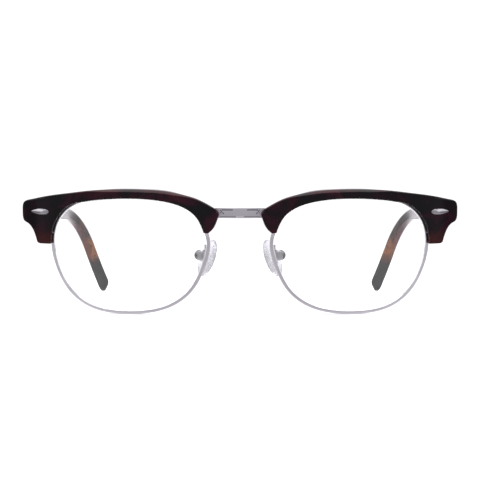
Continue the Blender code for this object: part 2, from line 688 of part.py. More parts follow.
def bridge():
    half = BRIDGE_HEIGHT / 2.0
    c = 0.25 * MM
    t = BRIDGE_THICK / 2.0
    section = [(-t, half - c), (-t + c, half), (t - c, half), (t, half - c),
               (t, -half + c), (t - c, -half), (-t + c, -half), (-t, -half + c)]
    rings = []
    for i in range(21):
        f = i / 10.0 - 1.0
        ring = []
        for dy, dz in section:
            z = BRIDGE_Z + dz
            x = rim_side_x(z) * f
            y = 0.68 * MM - 0.45 * MM * (1.0 - smooth(abs(x), 0.0, 7.5 * MM))
            ring.append((x, y + dy, z))
        rings.append(ring)
    points, faces = skin(rings)
    body("bridge", points, faces, 1.0, "metal", parent=front, round_faces=False)


# ---- nose pads ----
def pad_axes():
    splay = radians(PAD_SPLAY)
    flare = radians(PAD_FLARE)
    inward = Vector((-cos(splay), sin(splay), 0.0))
    up = Vector((0.0, 0.0, 1.0))
    wide = Vector((sin(splay), cos(splay), 0.0))
    long_axis = up * cos(flare) + inward * sin(flare)
    face = inward * cos(flare) - up * sin(flare)
    return long_axis, wide, face


LONG, WIDE, FACE = pad_axes()
PAD_AT = Vector(PAD_CENTRE)


def pad_point(along, across, out):
    return tuple(PAD_AT + LONG * along * MM + WIDE * across * MM + FACE * out * MM)


def pad_box(l0, l1, w0, w1, n0, n1):
    ring0 = [pad_point(a, b, n0) for a, b in ((l0, w0), (l1, w0), (l1, w1), (l0, w1))]
    ring1 = [pad_point(a, b, n1) for a, b in ((l0, w0), (l1, w0), (l1, w1), (l0, w1))]
    return skin([ring0, ring1])


def pads(side, tag, pivot):
    home = tuple(PAD_AT - FACE * PAD_PIVOT)
    deep = -PAD_PIVOT / MM
    count = 28
    half = [v / MM / 2.0 for v in PAD_SIZE]
    rings = []
    for scale, out in ((0.55, -1.20), (0.84, -1.00), (0.97, -0.60), (1.00, -0.10), (0.94, 0.50),
                       (0.76, 0.95), (0.45, 1.20)):
        ring = []
        for k in range(count):
            angle = 2.0 * pi * k / count
            wide = half[1] * sin(angle) * (1.0 - 0.10 * cos(angle))
            ring.append(pad_point(half[0] * cos(angle) * scale, wide * scale, out))
        rings.append(ring)
    points, faces = skin(rings)
    pad = body("nose_pad_" + tag, points, faces, side, "silicone", home, pivot)
    combine(pad, pad_box(-2.15, 2.15, -0.75, 0.75, -2.0, -0.15), side, "DIFFERENCE", "lug_pocket")
    shape = pad_box(-2.05, 2.05, -0.65, 0.65, -1.10, -0.25)
    lug = body("pad_lug_" + tag, shape[0], shape[1], side, "steel", home, pivot, round_faces=False)
    combine(lug, pad_box(-1.0, 1.0, -0.5, 0.5, deep, -0.9), side, "UNION", "stem")
    eye = rod(pad_point(0, -0.5, deep), pad_point(0, 0.5, deep), LUG_EYE_R * MM)
    combine(lug, eye, side, "UNION", "eye")
    bore = rod(pad_point(0, -4, deep), pad_point(0, 4, deep), 0.46 * MM)
    combine(lug, bore, side, "DIFFERENCE", "bore")
    shape = rod(pad_point(0, -CUP_HALF, deep), pad_point(0, CUP_HALF, deep), CUP_R * MM, 24)
    cup = body("pad_cup_" + tag, shape[0], shape[1], side, "metal", parent=front, round_faces=False)
    floor = deep - LUG_EYE_R - 0.08
    combine(cup, pad_box(-3.0, 3.0, -CUP_SLOT, CUP_SLOT, floor, deep + 3.0), side, "DIFFERENCE", "slot")
    combine(cup, bore, side, "DIFFERENCE", "bore")
    shank = rod(pad_point(0, -1.1, deep), pad_point(0, 1.4, deep), 0.40 * MM)
    head = rod(pad_point(0, 1.2, deep), pad_point(0, 1.6, deep), 0.80 * MM, cone=0.68 * MM)
    screw = body("pad_screw_" + tag, shank[0], shank[1], side, "steel", parent=front)
    combine(screw, head, side, "UNION", "head")
    combine(screw, pad_box(-1.2, 1.2, 1.42, 2.2, deep - 0.12, deep + 0.12), side, "DIFFERENCE", "slot")
    keys = [Vector(k) * MM for k in PAD_ARM_ROUTE]
    cheek = (CUP_HALF + CUP_SLOT) / 2.0
    for along, out in ((CUP_R + 1.0, 0.50), (CUP_R + 0.09, 0.33)):
        keys.append(Vector(pad_point(along, -cheek, deep + out)))
    points, faces = tube([tuple(p) for p in spline(keys, 22)], PAD_ARM_R)
    body("pad_arm_" + tag, points, faces, side, "metal", parent=front)


for hand, tag in ((1.0, "left"), (-1.0, "right")):
    temple_axis = frame_empty("temple_axis_" + tag, (HINGE_X, HINGE_Y, HINGE_Z), front, hand)
    pad_axis = frame_empty("pad_axis_" + tag, tuple(PAD_AT - FACE * PAD_PIVOT), front, hand)
    eyewire(hand, tag)
    lens(hand, tag)
    rim_lock(hand, tag)
    brow(hand, tag)
    rivet(hand, tag)
    hinge(hand, tag, temple_axis)
    temple(hand, tag, temple_axis)
    pads(hand, tag, pad_axis)
bridge()
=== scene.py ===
"""Looks for the browline eyeglasses.

Every visible piece is built again, finer, in the frame that the solids use for the front: x across, y
back and z up, from the middle of the front at the height of the lens centres. Each shape is written for
the left side, and the right side is its mirror image.
"""
from math import cos, hypot, pi, radians, sin, sqrt, tan

import bmesh
import bpy
import numpy as np
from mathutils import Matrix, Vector


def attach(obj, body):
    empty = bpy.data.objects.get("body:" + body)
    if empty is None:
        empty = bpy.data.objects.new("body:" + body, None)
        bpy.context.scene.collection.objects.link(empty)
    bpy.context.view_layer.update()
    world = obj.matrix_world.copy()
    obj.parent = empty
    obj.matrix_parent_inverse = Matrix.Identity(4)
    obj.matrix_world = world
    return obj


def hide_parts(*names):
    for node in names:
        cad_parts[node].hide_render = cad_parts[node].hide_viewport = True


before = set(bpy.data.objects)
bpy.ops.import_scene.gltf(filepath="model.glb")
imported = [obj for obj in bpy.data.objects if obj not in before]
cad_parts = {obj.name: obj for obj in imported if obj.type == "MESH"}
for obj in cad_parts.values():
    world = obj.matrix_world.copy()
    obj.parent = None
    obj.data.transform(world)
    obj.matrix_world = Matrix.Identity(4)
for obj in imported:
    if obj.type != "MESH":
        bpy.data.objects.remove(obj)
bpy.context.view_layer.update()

# ---- sizes shared with the solids, in metres ----
MM = 0.001
LENS_RADIUS = 0.130
LENS_X = 0.03635
LENS_THICK = 0.0015
FRONT_LIFT = 0.01965
DEPTH_SHIFT = 0.0708
BROW_FRONT = 0.0031
BROW_BACK = 0.0009
SWEEP_FROM = 0.027
END_PIVOT = 0.0006
BUTT_Y = 0.0130
HINGE_X = 0.0663
HINGE_Y = 0.0148
HINGE_Z = 0.0138
KNUCKLE_R = 0.0014
KNUCKLE_PITCH = 0.00122
KNUCKLE_GAP = 0.00006
HINGE_BORE_R = 0.00065
ARM_SHORT = 1e-6
TEMPLE_OUT_X = 0.0730
TEMPLE_STRAIGHT_Y = 0.0970
TEMPLE_BEND_R = 0.0420
TEMPLE_LENGTH = 0.1460
TEMPLE_Z = 0.0337
EAR_CURL_Y = 0.0740
BRIDGE_Z = 0.01405
BRIDGE_HEIGHT = 0.0034
BRIDGE_THICK = 0.0012
PAD_CENTRE = (0.0109, 0.0089, -0.0022)
PAD_SIZE = (0.0130, 0.0076, 0.0024)
PAD_PIVOT = 0.0033
LOCK_W = 0.0070
RIVET_AT = (0.0302, 0.0141)
FIT = 0.00005

# ---- angles and curvatures shared with the solids ----
TILT = radians(6.0)
WRAP = radians(6.0)
TEMPLE_BEND = radians(48.5)
PAD_SPLAY = radians(35.0)
PAD_FLARE = radians(24.0)
SWEEP_CURVE = 30.0
EAR_CURL = 2.6

# ---- sizes shared with the solids, in millimetres ----
CUP_R = 1.75
CUP_HALF = 1.14
CUP_SLOT = 0.58
LUG_EYE_R = 1.30
LOCK_SCREW_OUT = 1.75
TAB_SCREW_OUT = 1.80
TAB_REACH = 2.62
# across and up from the lens centre
LENS_OUTLINE = [(-25.7, 5.0), (-24.4, 9.4), (-22.2, 13.3), (-18.8, 16.0), (-10.9, 18.5), (-0.3, 19.3),
                (10.0, 18.8), (19.0, 16.7), (23.6, 12.9), (26.3, 5.0), (24.7, -4.4), (20.6, -12.0),
                (14.1, -17.0), (3.0, -19.2), (-7.3, -18.5), (-14.4, -16.1), (-20.5, -10.9),
                (-24.2, -3.5)]
RIVET_OUTLINE = [(34.0, 13.95), (32.6, 14.6), (30.8, 15.0), (29.2, 14.95), (27.9, 14.65), (27.4, 14.1),
                 (27.9, 13.5), (29.2, 13.2), (30.8, 13.15), (32.6, 13.45)]
# degrees round the lens, then the brow's outer edge across and up from the lens centre
BROW_STATIONS = [(162.5, -26.1, 7.6), (160.8, -27.0, 8.4), (159.0, -27.8, 9.4), (156.5, -28.5, 10.9),
                 (153.5, -29.2, 13.0), (151.0, -29.3, 14.1), (148.5, -28.7, 15.1), (145.5, -27.2, 16.2),
                 (141.5, -24.8, 17.6), (136.5, -22.0, 18.9), (129.0, -18.0, 20.1), (120.0, -12.2, 21.3),
                 (105.0, -5.2, 21.85), (90.0, 1.0, 21.95), (72.0, 7.9, 21.75), (58.0, 14.0, 21.3),
                 (47.0, 20.2, 20.5), (40.0, 26.5, 19.6), (36.5, 31.0, 18.7), (33.5, 34.3, 17.9),
                 (31.8, 36.2, 17.35), (30.4, 37.2, 16.6), (29.2, 37.6, 15.4), (27.4, 37.6, 13.6),
                 (25.6, 37.5, 12.0), (24.2, 37.2, 11.0), (22.8, 36.6, 10.35), (21.2, 35.6, 9.95),
                 (19.4, 34.4, 9.2), (17.4, 33.6, 8.3), (15.4, 33.0, 7.3), (13.2, 32.5, 6.2),
                 (11.2, 32.15, 5.2), (9.6, 31.9, 4.4), (8.4, 31.6, 3.75), (7.6, 31.0, 3.45)]
# degrees round the lens
BROW_TABS = [(118.0, "nasal"), (56.0, "temporal")]
# first points of the pad arm's wire, in the front frame
PAD_ARM_ROUTE = [(10.75, 1.03, 3.0), (11.25, 2.7, 2.85), (11.6, 4.6, 2.65), (11.55, 6.5, 2.4)]

# ---- profiles finer than the solids, in millimetres ----
# eyewire with rolled edges and a fine step on its face: out from the lens edge, then back
RIM_SECTION = [(-0.51, -0.60), (-0.18, -0.30), (0.07, 0.0), (-0.18, 0.30), (-0.51, 0.60), (-0.51, 0.82),
               (-0.47, 0.90), (-0.36, 0.95), (0.0, 0.965), (0.36, 0.94), (0.52, 0.87), (0.61, 0.74),
               (0.64, 0.58), (0.64, 0.20), (0.64, -0.20), (0.64, -0.66), (0.62, -0.82), (0.58, -0.88),
               (0.50, -0.915), (0.34, -0.93), (0.14, -0.935), (0.11, -0.96), (-0.12, -0.965),
               (-0.34, -0.955), (-0.45, -0.91), (-0.50, -0.83)]
# how far in the lens's flat faces end, and its bevelled edge: out from the lens edge, then back
LENS_BEVEL = 0.60
LENS_EDGE = [(-0.56, -0.68), (-0.55, -0.38), (-0.12, -0.03), (-0.10, 0.0), (-0.12, 0.03), (-0.55, 0.38),
             (-0.56, 0.68)]
# rounded inner edge and bevelled top edge of the brow: in from the outline, then back from the face
BROW_INNER_EDGE = [(0.0, 0.80), (0.02, 0.60), (0.08, 0.38), (0.17, 0.22), (0.30, 0.10), (0.46, 0.03),
                   (0.70, 0.0)]
BROW_TOP_EDGE = [(1.00, 0.015), (0.90, 0.06), (0.80, 0.14), (0.62, 0.31), (0.40, 0.53), (0.22, 0.73),
                 (0.12, 0.87), (0.05, 1.02), (0.01, 1.20), (0.0, 1.38)]
# round pieces: along the axis, then radius
LOCK_SCREW = [(0.0, 0.62), (0.06, 0.76), (0.16, 0.84), (0.42, 0.85), (0.45, 0.80), (0.46, 0.48),
              (3.66, 0.48), (3.80, 0.38)]
BROW_SCREW = [(0.0, 0.36), (0.12, 0.46), (2.74, 0.46), (2.75, 0.77), (2.80, 0.80), (2.92, 0.78),
              (3.06, 0.68), (3.15, 0.52)]
PAD_SCREW = [(0.0, 0.34), (0.06, 0.40), (2.30, 0.40), (2.31, 0.78), (2.36, 0.80), (2.52, 0.78),
             (2.62, 0.68), (2.70, 0.52)]
CUP_PROFILE = [(0.0, CUP_R - 0.16), (0.05, CUP_R - 0.06), (0.16, CUP_R), (2.0 * CUP_HALF - 0.16, CUP_R),
               (2.0 * CUP_HALF - 0.05, CUP_R - 0.06), (2.0 * CUP_HALF, CUP_R - 0.16)]
# head of the hinge screw, measured from the top of the knuckles
HINGE_SCREW_HEAD = [(0.05, 0.60), (0.06, 1.12), (0.12, 1.15), (0.34, 1.10), (0.48, 0.98), (0.55, 0.80)]
# silicone pad: share of its outline, then out from its middle
PAD_PROFILE = [(0.10, -1.22), (0.45, -1.20), (0.74, -1.10), (0.90, -0.85), (0.98, -0.48), (1.00, -0.08),
               (0.97, 0.35), (0.89, 0.70), (0.74, 0.97), (0.50, 1.14), (0.22, 1.20), (0.03, 1.205)]

# ---- parts of the rim lock, tabs, brow, hinge, pads and temple, in millimetres ----
# rim lock blocks: out from the lens edge, along it from the split, and back
LOCK_BLOCK_OUT = (0.66, 2.80)
LOCK_BLOCK_ALONG = (0.10, 1.70)
LOCK_BLOCK_BACK = (-0.85, 0.95)
LOCK_BORE_R = 0.55
# where the rim lock screw begins and ends along the lens edge
LOCK_SCREW_SPAN = (-2.20, 1.60)
TAB_HALF = 1.5
TAB_BACK = (1.0, 1.6)
TAB_BORE_R = 0.56
# where the brow screw begins and ends behind the lens edge
BROW_SCREW_SPAN = (-0.9, 2.25)
BROW_FULL_WIDTH = 3.2
RIVET_BORE_R = 0.68
RIVET_SHANK_R = 0.60
PAD_BORE_R = 0.46
TEMPLE_CORE_R = 0.74
# the temple's height and thickness at the hinge, along the side, and what the ear part adds
TEMPLE_AT_HINGE = (6.6, 4.2)
TEMPLE_ALONG = (4.6, 2.7)
TEMPLE_EAR_ADDS = (0.9, 0.1)
TEMPLE_CORNER = 1.1
TEMPLE_TIP = 4.0
# half width of the slots in the screw heads
SLOT_HALF = 0.13
HINGE_SLOT_HALF = 0.17

# ---- how finely the shapes are cut ----
OUTLINE_STEPS = 1440
SPLINE_STEPS = 2881
RIM_RINGS = 420
LENS_SIDES = 240
LENS_LEVELS = 12
BROW_RINGS = 260
BROW_FACE_STEPS = 9
BROW_BACK_STEPS = 56
BRIDGE_RINGS = 401
PAD_SIDES = 96
ARM_RINGS = 90
WELD = 1e-7


# ---- curves ----
def spline(points, count, closed=False):
    """Smooth curve through the points, resampled at even steps along its length."""
    pts = np.array(points, float)
    if closed:
        pts = np.vstack([pts, pts[:1]])
    step = np.sqrt((np.diff(pts, axis=0) ** 2).sum(axis=1))
    knot = np.concatenate([[0.0], np.cumsum(step)])
    n = len(knot)
    rows = np.zeros((n, n))
    rhs = np.zeros((n, pts.shape[1]))
    slope = np.diff(pts, axis=0) / step[:, None]
    for i in range(1, n - 1):
        rows[i, i - 1:i + 2] = (step[i - 1], 2.0 * (step[i - 1] + step[i]), step[i])
        rhs[i] = 6.0 * (slope[i] - slope[i - 1])
    if closed:
        rows[0, 0] = 1.0
        rows[0, n - 1] = -1.0
        rows[n - 1, 0:2] = (2.0 * step[0], step[0])
        rows[n - 1, n - 2:n] = (step[-1], 2.0 * step[-1])
        rhs[n - 1] = 6.0 * (slope[0] - slope[-1])
    else:
        rows[0, 0] = 1.0
        rows[n - 1, n - 1] = 1.0
    bend = np.linalg.solve(rows, rhs)
    fine = np.linspace(0.0, knot[-1], SPLINE_STEPS)
    seg = np.clip(np.searchsorted(knot, fine, side="right") - 1, 0, n - 2)
    h = step[seg][:, None]
    a = ((knot[seg + 1] - fine)[:, None]) / h
    b = 1.0 - a
    dense = a * pts[seg] + b * pts[seg + 1]
    dense = dense + ((a ** 3 - a) * bend[seg] + (b ** 3 - b) * bend[seg + 1]) * h * h / 6.0
    return resample(dense, count, closed)


def resample(dense, count, closed=False):
    """Points at even steps along a curve given as many points; a closed one leaves out its last."""
    gone = np.sqrt((np.diff(dense, axis=0) ** 2).sum(axis=1))
    run = np.concatenate([[0.0], np.cumsum(gone)])
    want = np.linspace(0.0, run[-1], count + 1)[:-1] if closed else np.linspace(0.0, run[-1], count)
    return np.stack([np.interp(want, run, dense[:, k]) for k in range(dense.shape[1])], axis=1)


def smooth(value, low, high):
    """0 up to low, 1 from high on, and an eased step between them."""
    t = min(1.0, max(0.0, (value - low) / (high - low)))
    return t * t * (3.0 - 2.0 * t)


LENS_FINE = spline([(u * MM, w * MM) for u, w in LENS_OUTLINE], OUTLINE_STEPS, closed=True)
LENS_ANGLE = np.unwrap(np.arctan2(LENS_FINE[:, 1], LENS_FINE[:, 0]))


def normals_of(loop, closed):
    """Unit normals of a curve about the lens centre, pointing away from it."""
    ahead = np.roll(loop, -1, axis=0)
    back = np.roll(loop, 1, axis=0)
    if not closed:
        ahead[-1] = loop[-1]
        back[0] = loop[0]
    run = ahead - back
    run = run / np.sqrt((run ** 2).sum(axis=1))[:, None]
    out = np.stack([run[:, 1], -run[:, 0]], axis=1)
    return out * np.sign((out * loop).sum(axis=1))[:, None]


LENS_NORMAL = normals_of(LENS_FINE, True)


def outline_at(angle):
    """Lens outline point and outward normal in a direction from the lens centre, in degrees."""
    turn = (radians(angle) - LENS_ANGLE) % (2.0 * pi)
    turn = np.minimum(turn, 2.0 * pi - turn)
    near = np.argsort(turn)[:2]
    share = turn[near[::-1]] / (turn[near].sum() + 1e-12)
    base = (LENS_FINE[near] * share[:, None]).sum(axis=0)
    normal = (LENS_NORMAL[near] * share[:, None]).sum(axis=0)
    return base, normal / hypot(normal[0], normal[1])


def sag(u, w):
    """How far the curved lens surface falls back at a place, from its middle."""
    return LENS_RADIUS - sqrt(LENS_RADIUS ** 2 - u * u - w * w)


def place(u, w, d):
    """Front frame point for a lens position and a depth behind the lens surface."""
    deep = sag(u, w) + d
    return (LENS_X + u * cos(WRAP) - deep * sin(WRAP), u * sin(WRAP) + deep * cos(WRAP), w)


def brow_point(u, w, d):
    """As place, with the end piece swept back past the lens edge and its slant taken out."""
    x, y, z = place(u, w, d)
    x = x + (d + BROW_FRONT - END_PIVOT) * sin(WRAP) * smooth(u, 0.026, 0.030)
    return (x, y + SWEEP_CURVE * max(0.0, u - SWEEP_FROM) ** 2, z)


def level_to_front(x, y, z):
    """Front frame point for a level point: y back from the front origin, z above the table."""
    up = z - FRONT_LIFT
    return (x, y * cos(TILT) + up * sin(TILT), up * cos(TILT) - y * sin(TILT))


def to_row(p, side):
    """Frame point for a front frame point: leaned back, lifted on the table, on one side of the face."""
    x, y, z = p
    back = y * cos(TILT) - z * sin(TILT) - DEPTH_SHIFT
    return (side * x, back, y * sin(TILT) + z * cos(TILT) + FRONT_LIFT)


# ---- shapes: lists of points and faces in the front frame ----
def ring_faces(rings, count, start=0):
    """Quads between rings of count points each, the first ring beginning at point start."""
    faces = []
    for r in range(rings - 1):
        a = start + r * count
        for i in range(count):
            j = (i + 1) % count
            faces.append((a + i, a + j, a + count + j, a + count + i))
    return faces


def skin(rings):
    """Closed tube through rings of equal length, capped at both ends."""
    count = len(rings[0])
    points = [p for ring in rings for p in ring]
    faces = ring_faces(len(rings), count)
    last = (len(rings) - 1) * count
    faces.append(tuple(range(count - 1, -1, -1)))
    faces.append(tuple(range(last, last + count)))
    return points, faces


def box(low, high):
    (x0, y0, z0), (x1, y1, z1) = low, high
    ring = [(x0, y0), (x1, y0), (x1, y1), (x0, y1)]
    return skin([[(x, y, z0) for x, y in ring], [(x, y, z1) for x, y in ring]])


def in_metres(profile):
    return [(a * MM, b * MM) for a, b in profile]


def turned(start, end, profile, sides=48):
    """Round piece about the line from start to end; profile lists (distance along, radius)."""
    a = Vector(start)
    axis = (Vector(end) - a).normalized()
    turn = axis.to_track_quat("Z", "Y")
    rings = []
    for along, r in profile:
        ring = []
        for i in range(sides):
            angle = 2.0 * pi * (i + 0.5) / sides
            ring.append(tuple(a + axis * along + turn @ Vector((r * cos(angle), r * sin(angle), 0.0))))
        rings.append(ring)
    return skin(rings)


def rod(start, end, radius):
    return turned(start, end, [(0.0, radius), ((Vector(end) - Vector(start)).length, radius)])


def tube(path, radius, sides=24):
    """Round wire along a path of points; radius may be one number or one for each point."""
    path = [Vector(p) for p in path]
    radii = radius if isinstance(radius, list) else [radius] * len(path)
    rings = []
    across = None
    for i, centre in enumerate(path):
        run = (path[min(i + 1, len(path) - 1)] - path[max(i - 1, 0)]).normalized()
        if across is None:
            across = run.cross(Vector((0.0, 0.0, 1.0)))
            if across.length < 0.1:
                across = run.cross(Vector((1.0, 0.0, 0.0)))
        across = (across - run * across.dot(run)).normalized()
        other = run.cross(across)
        rings.append([tuple(centre + across * radii[i] * cos(2.0 * pi * k / sides)
                            + other * radii[i] * sin(2.0 * pi * k / sides)) for k in range(sides)])
    return skin(rings)


# ---- pieces ----
def make_mesh(name, shape, side):
    points, faces = shape
    mesh = bpy.data.meshes.new(name)
    mesh.from_pydata([to_row(p, side) for p in points], [], faces)
    work = bmesh.new()
    work.from_mesh(mesh)
    bmesh.ops.recalc_face_normals(work, faces=work.faces)
    work.to_mesh(mesh)
    work.free()
    return mesh


def make_piece(name, shape, side, ride, node, look, joins=(), cuts=(), bevel=0.0, crease=32.0):
    """A finished piece: shape plus joins, minus cuts, with its edges eased by bevel.

    It rides on the body ride and replaces the CAD node. Edges sharper than crease degrees stay sharp.
    """
    obj = bpy.data.objects.new(name, make_mesh(name, shape, side))
    bpy.context.scene.collection.objects.link(obj)
    tools = []
    for operation, group in (("UNION", joins), ("DIFFERENCE", cuts)):
        for n, extra in enumerate(group):
            tool = bpy.data.objects.new(name + "_tool_%d" % n, make_mesh(name + "_tool", extra, side))
            bpy.context.scene.collection.objects.link(tool)
            step = obj.modifiers.new("cut", "BOOLEAN")
            step.operation = operation
            step.solver = "EXACT"
            step.object = tool
            tools.append(tool)
    if bevel > 0.0:
        ease = obj.modifiers.new("ease", "BEVEL")
        ease.width = bevel
        ease.segments = 1
        ease.limit_method = "ANGLE"
        ease.angle_limit = radians(40.0)
    if obj.modifiers:
        bpy.context.view_layer.update()
        shown = obj.evaluated_get(bpy.context.evaluated_depsgraph_get())
        done = bpy.data.meshes.new_from_object(shown)
        obj.modifiers.clear()
        obj.data = done
    for tool in tools:
        bpy.data.objects.remove(tool, do_unlink=True)
    work = bmesh.new()
    work.from_mesh(obj.data)
    bmesh.ops.remove_doubles(work, verts=work.verts, dist=WELD)
    for face in work.faces:
        face.smooth = True
    for edge in work.edges:
        if len(edge.link_faces) == 2 and edge.calc_face_angle() > radians(crease):
            edge.smooth = False
    work.to_mesh(obj.data)
    work.free()
    obj.data.materials.clear()
    obj.data.materials.append(look)
    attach(obj, ride)
    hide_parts(node)
    return obj


# ---- materials ----
class Nodes:
    """Short hand for building a material's node tree."""

    def __init__(self, name):
        self.mat = bpy.data.materials.new(name)
        self.mat.use_nodes = True
        self.tree = self.mat.node_tree
        self.shader = self.tree.nodes["Principled BSDF"]

    def add(self, kind, links=(), **values):
        """A node with its settings, and its sockets linked or given a value."""
        node = self.tree.nodes.new(kind)
        for key, value in values.items():
            setattr(node, key, value)
        for socket, source in links:
            if hasattr(source, "is_output"):
                self.tree.links.new(source, node.inputs[socket])
            else:
                node.inputs[socket].default_value = source
        return node

    def noise(self, place_at, scale, detail=3.0, rough=0.5, distortion=0.0):
        settings = [("Vector", place_at), ("Scale", scale), ("Detail", detail), ("Roughness", rough),
                    ("Distortion", distortion)]
        return self.add("ShaderNodeTexNoise", settings).outputs["Fac"]

    def ramp(self, fac, stops):
        """Colours at their places along fac, eased between them."""
        node = self.add("ShaderNodeValToRGB", [("Fac", fac)])
        node.color_ramp.interpolation = "EASE"
        elements = node.color_ramp.elements
        while len(elements) < len(stops):
            elements.new(0.5)
        for element, (at, colour) in zip(elements, stops):
            element.position = at
            element.color = (*colour, 1.0)
        return node.outputs["Color"]

    def spread(self, value, low, high, to_low=0.0, to_high=1.0):
        """value eased from to_low at low to to_high at high."""
        node = self.add("ShaderNodeMapRange", [("Value", value), ("From Min", low), ("From Max", high),
                                               ("To Min", to_low), ("To Max", to_high)],
                        interpolation_type="SMOOTHSTEP")
        return node.outputs["Result"]

    def math(self, operation, a, b):
        return self.add("ShaderNodeMath", [(0, a), (1, b)], operation=operation).outputs[0]

    def mix(self, fac, a, b):
        node = self.add("ShaderNodeMix", data_type="RGBA")
        for socket, source in ((0, fac), (6, a), (7, b)):
            if hasattr(source, "is_output"):
                self.tree.links.new(source, node.inputs[socket])
            else:
                node.inputs[socket].default_value = source if socket == 0 else (*source, 1.0)
        return node.outputs[2]

    def set(self, **values):
        """Settings of the shader, linked or given a value."""
        for key, value in values.items():
            socket = self.shader.inputs[key.replace("_", " ")]
            if hasattr(value, "is_output"):
                self.tree.links.new(value, socket)
            else:
                socket.default_value = value

    def bump(self, height, strength, distance):
        settings = [("Height", height), ("Strength", strength), ("Distance", distance)]
        node = self.add("ShaderNodeBump", settings)
        self.tree.links.new(node.outputs["Normal"], self.shader.inputs["Normal"])

    def coords(self):
        node = self.add("ShaderNodeTexCoord")
        return node.outputs["Object"], node.outputs["Normal"]

    def split(self, vector):
        return self.add("ShaderNodeSeparateXYZ", [(0, vector)]).outputs


def acetate(name, temple):
    """Polished dark tortoise: near black with burgundy clouds, and amber windows along the temples."""
    n = Nodes(name)
    at, normal = n.coords()
    py, pz = n.split(at)[1:3]
    nz = n.split(normal)[2]
    clouds = n.noise(at, 95.0, 4.0, 0.55, 0.8)
    colour = n.ramp(clouds, [(0.36, (0.0030, 0.0030, 0.0034)), (0.48, (0.0050, 0.0026, 0.0040)),
                             (0.60, (0.0150, 0.0030, 0.0065)), (0.74, (0.0320, 0.0050, 0.0080))])
    patches = n.noise(at, 210.0, 2.0, 0.5, 1.4)
    if temple:
        # brown clouds grow stronger towards the ear
        warm = n.ramp(n.noise(at, 130.0, 3.0, 0.6, 1.2),
                      [(0.38, (0.006, 0.003, 0.003)), (0.52, (0.022, 0.006, 0.005)),
                       (0.66, (0.070, 0.018, 0.007)), (0.80, (0.150, 0.048, 0.010))])
        ear = n.spread(py, -0.050, 0.020)
        colour = n.mix(n.math("MULTIPLY", ear, 0.75), colour, warm)
        # amber window across the ear part
        window = n.math("MULTIPLY", n.spread(pz, 0.0130, 0.0175), n.spread(pz, 0.0250, 0.0205))
        window = n.math("MULTIPLY", window, n.spread(patches, 0.30, 0.55, 0.35, 1.0))
        window = n.math("MULTIPLY", window, n.spread(py, 0.035, 0.048))
        colour = n.mix(window, colour, (0.180, 0.055, 0.009))
        # red on the faces that turn downwards, painted light from below, and a near black tip
        underside_painted_light = n.math("MULTIPLY", n.spread(nz, -0.20, -0.60), n.spread(pz, 0.0130, 0.0220))
        colour = n.mix(n.math("MULTIPLY", underside_painted_light, 0.8), colour, (0.050, 0.011, 0.014))
        tip = n.spread(pz, 0.0150, 0.0100)
        colour = n.mix(n.math("MULTIPLY", tip, 0.92), colour, (0.006, 0.005, 0.006))
    else:
        # red leg beside the lens, and burgundy clouds painted only on the faces that turn upwards:
        # painted light from above
        leg = n.math("MULTIPLY", n.spread(pz, 0.0290, 0.0245), n.spread(patches, 0.25, 0.60, 0.35, 1.0))
        colour = n.mix(leg, colour, (0.026, 0.0050, 0.0050))
        top = n.math("MULTIPLY", n.spread(nz, 0.25, 0.70), n.spread(clouds, 0.40, 0.62, 0.15, 1.0))
        colour = n.mix(n.math("MULTIPLY", top, 0.9), colour, (0.036, 0.005, 0.008))
    n.set(Base_Color=colour, Roughness=n.spread(n.noise(at, 900.0, 4.0), 0.3, 0.7, 0.05, 0.10),
          IOR=1.46, Specular_IOR_Level=0.42 if temple else 0.20, Coat_Roughness=0.03, Coat_IOR=1.5)
    if temple:
        # the front part is polished brighter than the ear part
        n.set(Coat_Weight=n.spread(py, 0.024, 0.048, 1.0, 0.0))
    n.bump(n.noise(at, 260.0, 2.0), 0.03, 0.0002)
    return n.mat


def nickel(name, colour, rough, brushed=False):
    """Nickel silver with a fine grain, drawn out across the front where it is brushed."""
    n = Nodes(name)
    at, _ = n.coords()
    scale = (220.0, 2500.0, 5200.0) if brushed else (900.0, 900.0, 900.0)
    stretch = n.add("ShaderNodeMapping", [("Vector", at), ("Scale", scale)])
    grain = n.noise(stretch.outputs[0], 1.0, 4.0, 0.6)
    film = n.noise(at, 160.0, 3.0, 0.6)
    shade = n.mix(n.spread(film, 0.35, 0.7, 0.0, 0.5), colour, tuple(c * 0.86 for c in colour))
    n.set(Base_Color=shade, Metallic=1.0, Roughness=n.spread(grain, 0.3, 0.7, rough * 0.75, rough * 1.3))
    n.bump(grain, 0.06 if brushed else 0.03, 0.00004)
    return n.mat


def lens_look():
    n = Nodes("lens_clear")
    at, _ = n.coords()
    film = n.noise(at, 70.0, 3.0, 0.6)
    n.set(Base_Color=n.mix(n.spread(film, 0.3, 0.7, 0.0, 0.4), (0.99, 1.0, 1.0), (0.975, 0.99, 0.985)),
          Roughness=n.spread(n.noise(at, 400.0, 3.0), 0.55, 0.8, 0.0, 0.012),
          IOR=1.5, Transmission_Weight=1.0, Specular_IOR_Level=0.35)
    return n.mat


def silicone_look():
    n = Nodes("pad_silicone")
    at, _ = n.coords()
    cloud = n.noise(at, 500.0, 3.0, 0.6)
    n.set(Base_Color=n.mix(n.spread(cloud, 0.3, 0.7, 0.0, 0.6), (0.66, 0.65, 0.70), (0.57, 0.56, 0.61)),
          Roughness=n.spread(n.noise(at, 1800.0, 4.0), 0.3, 0.7, 0.24, 0.34),
          IOR=1.41, Transmission_Weight=1.0, Specular_IOR_Level=0.5)
    n.bump(n.noise(at, 1500.0, 3.0), 0.05, 0.0001)
    return n.mat


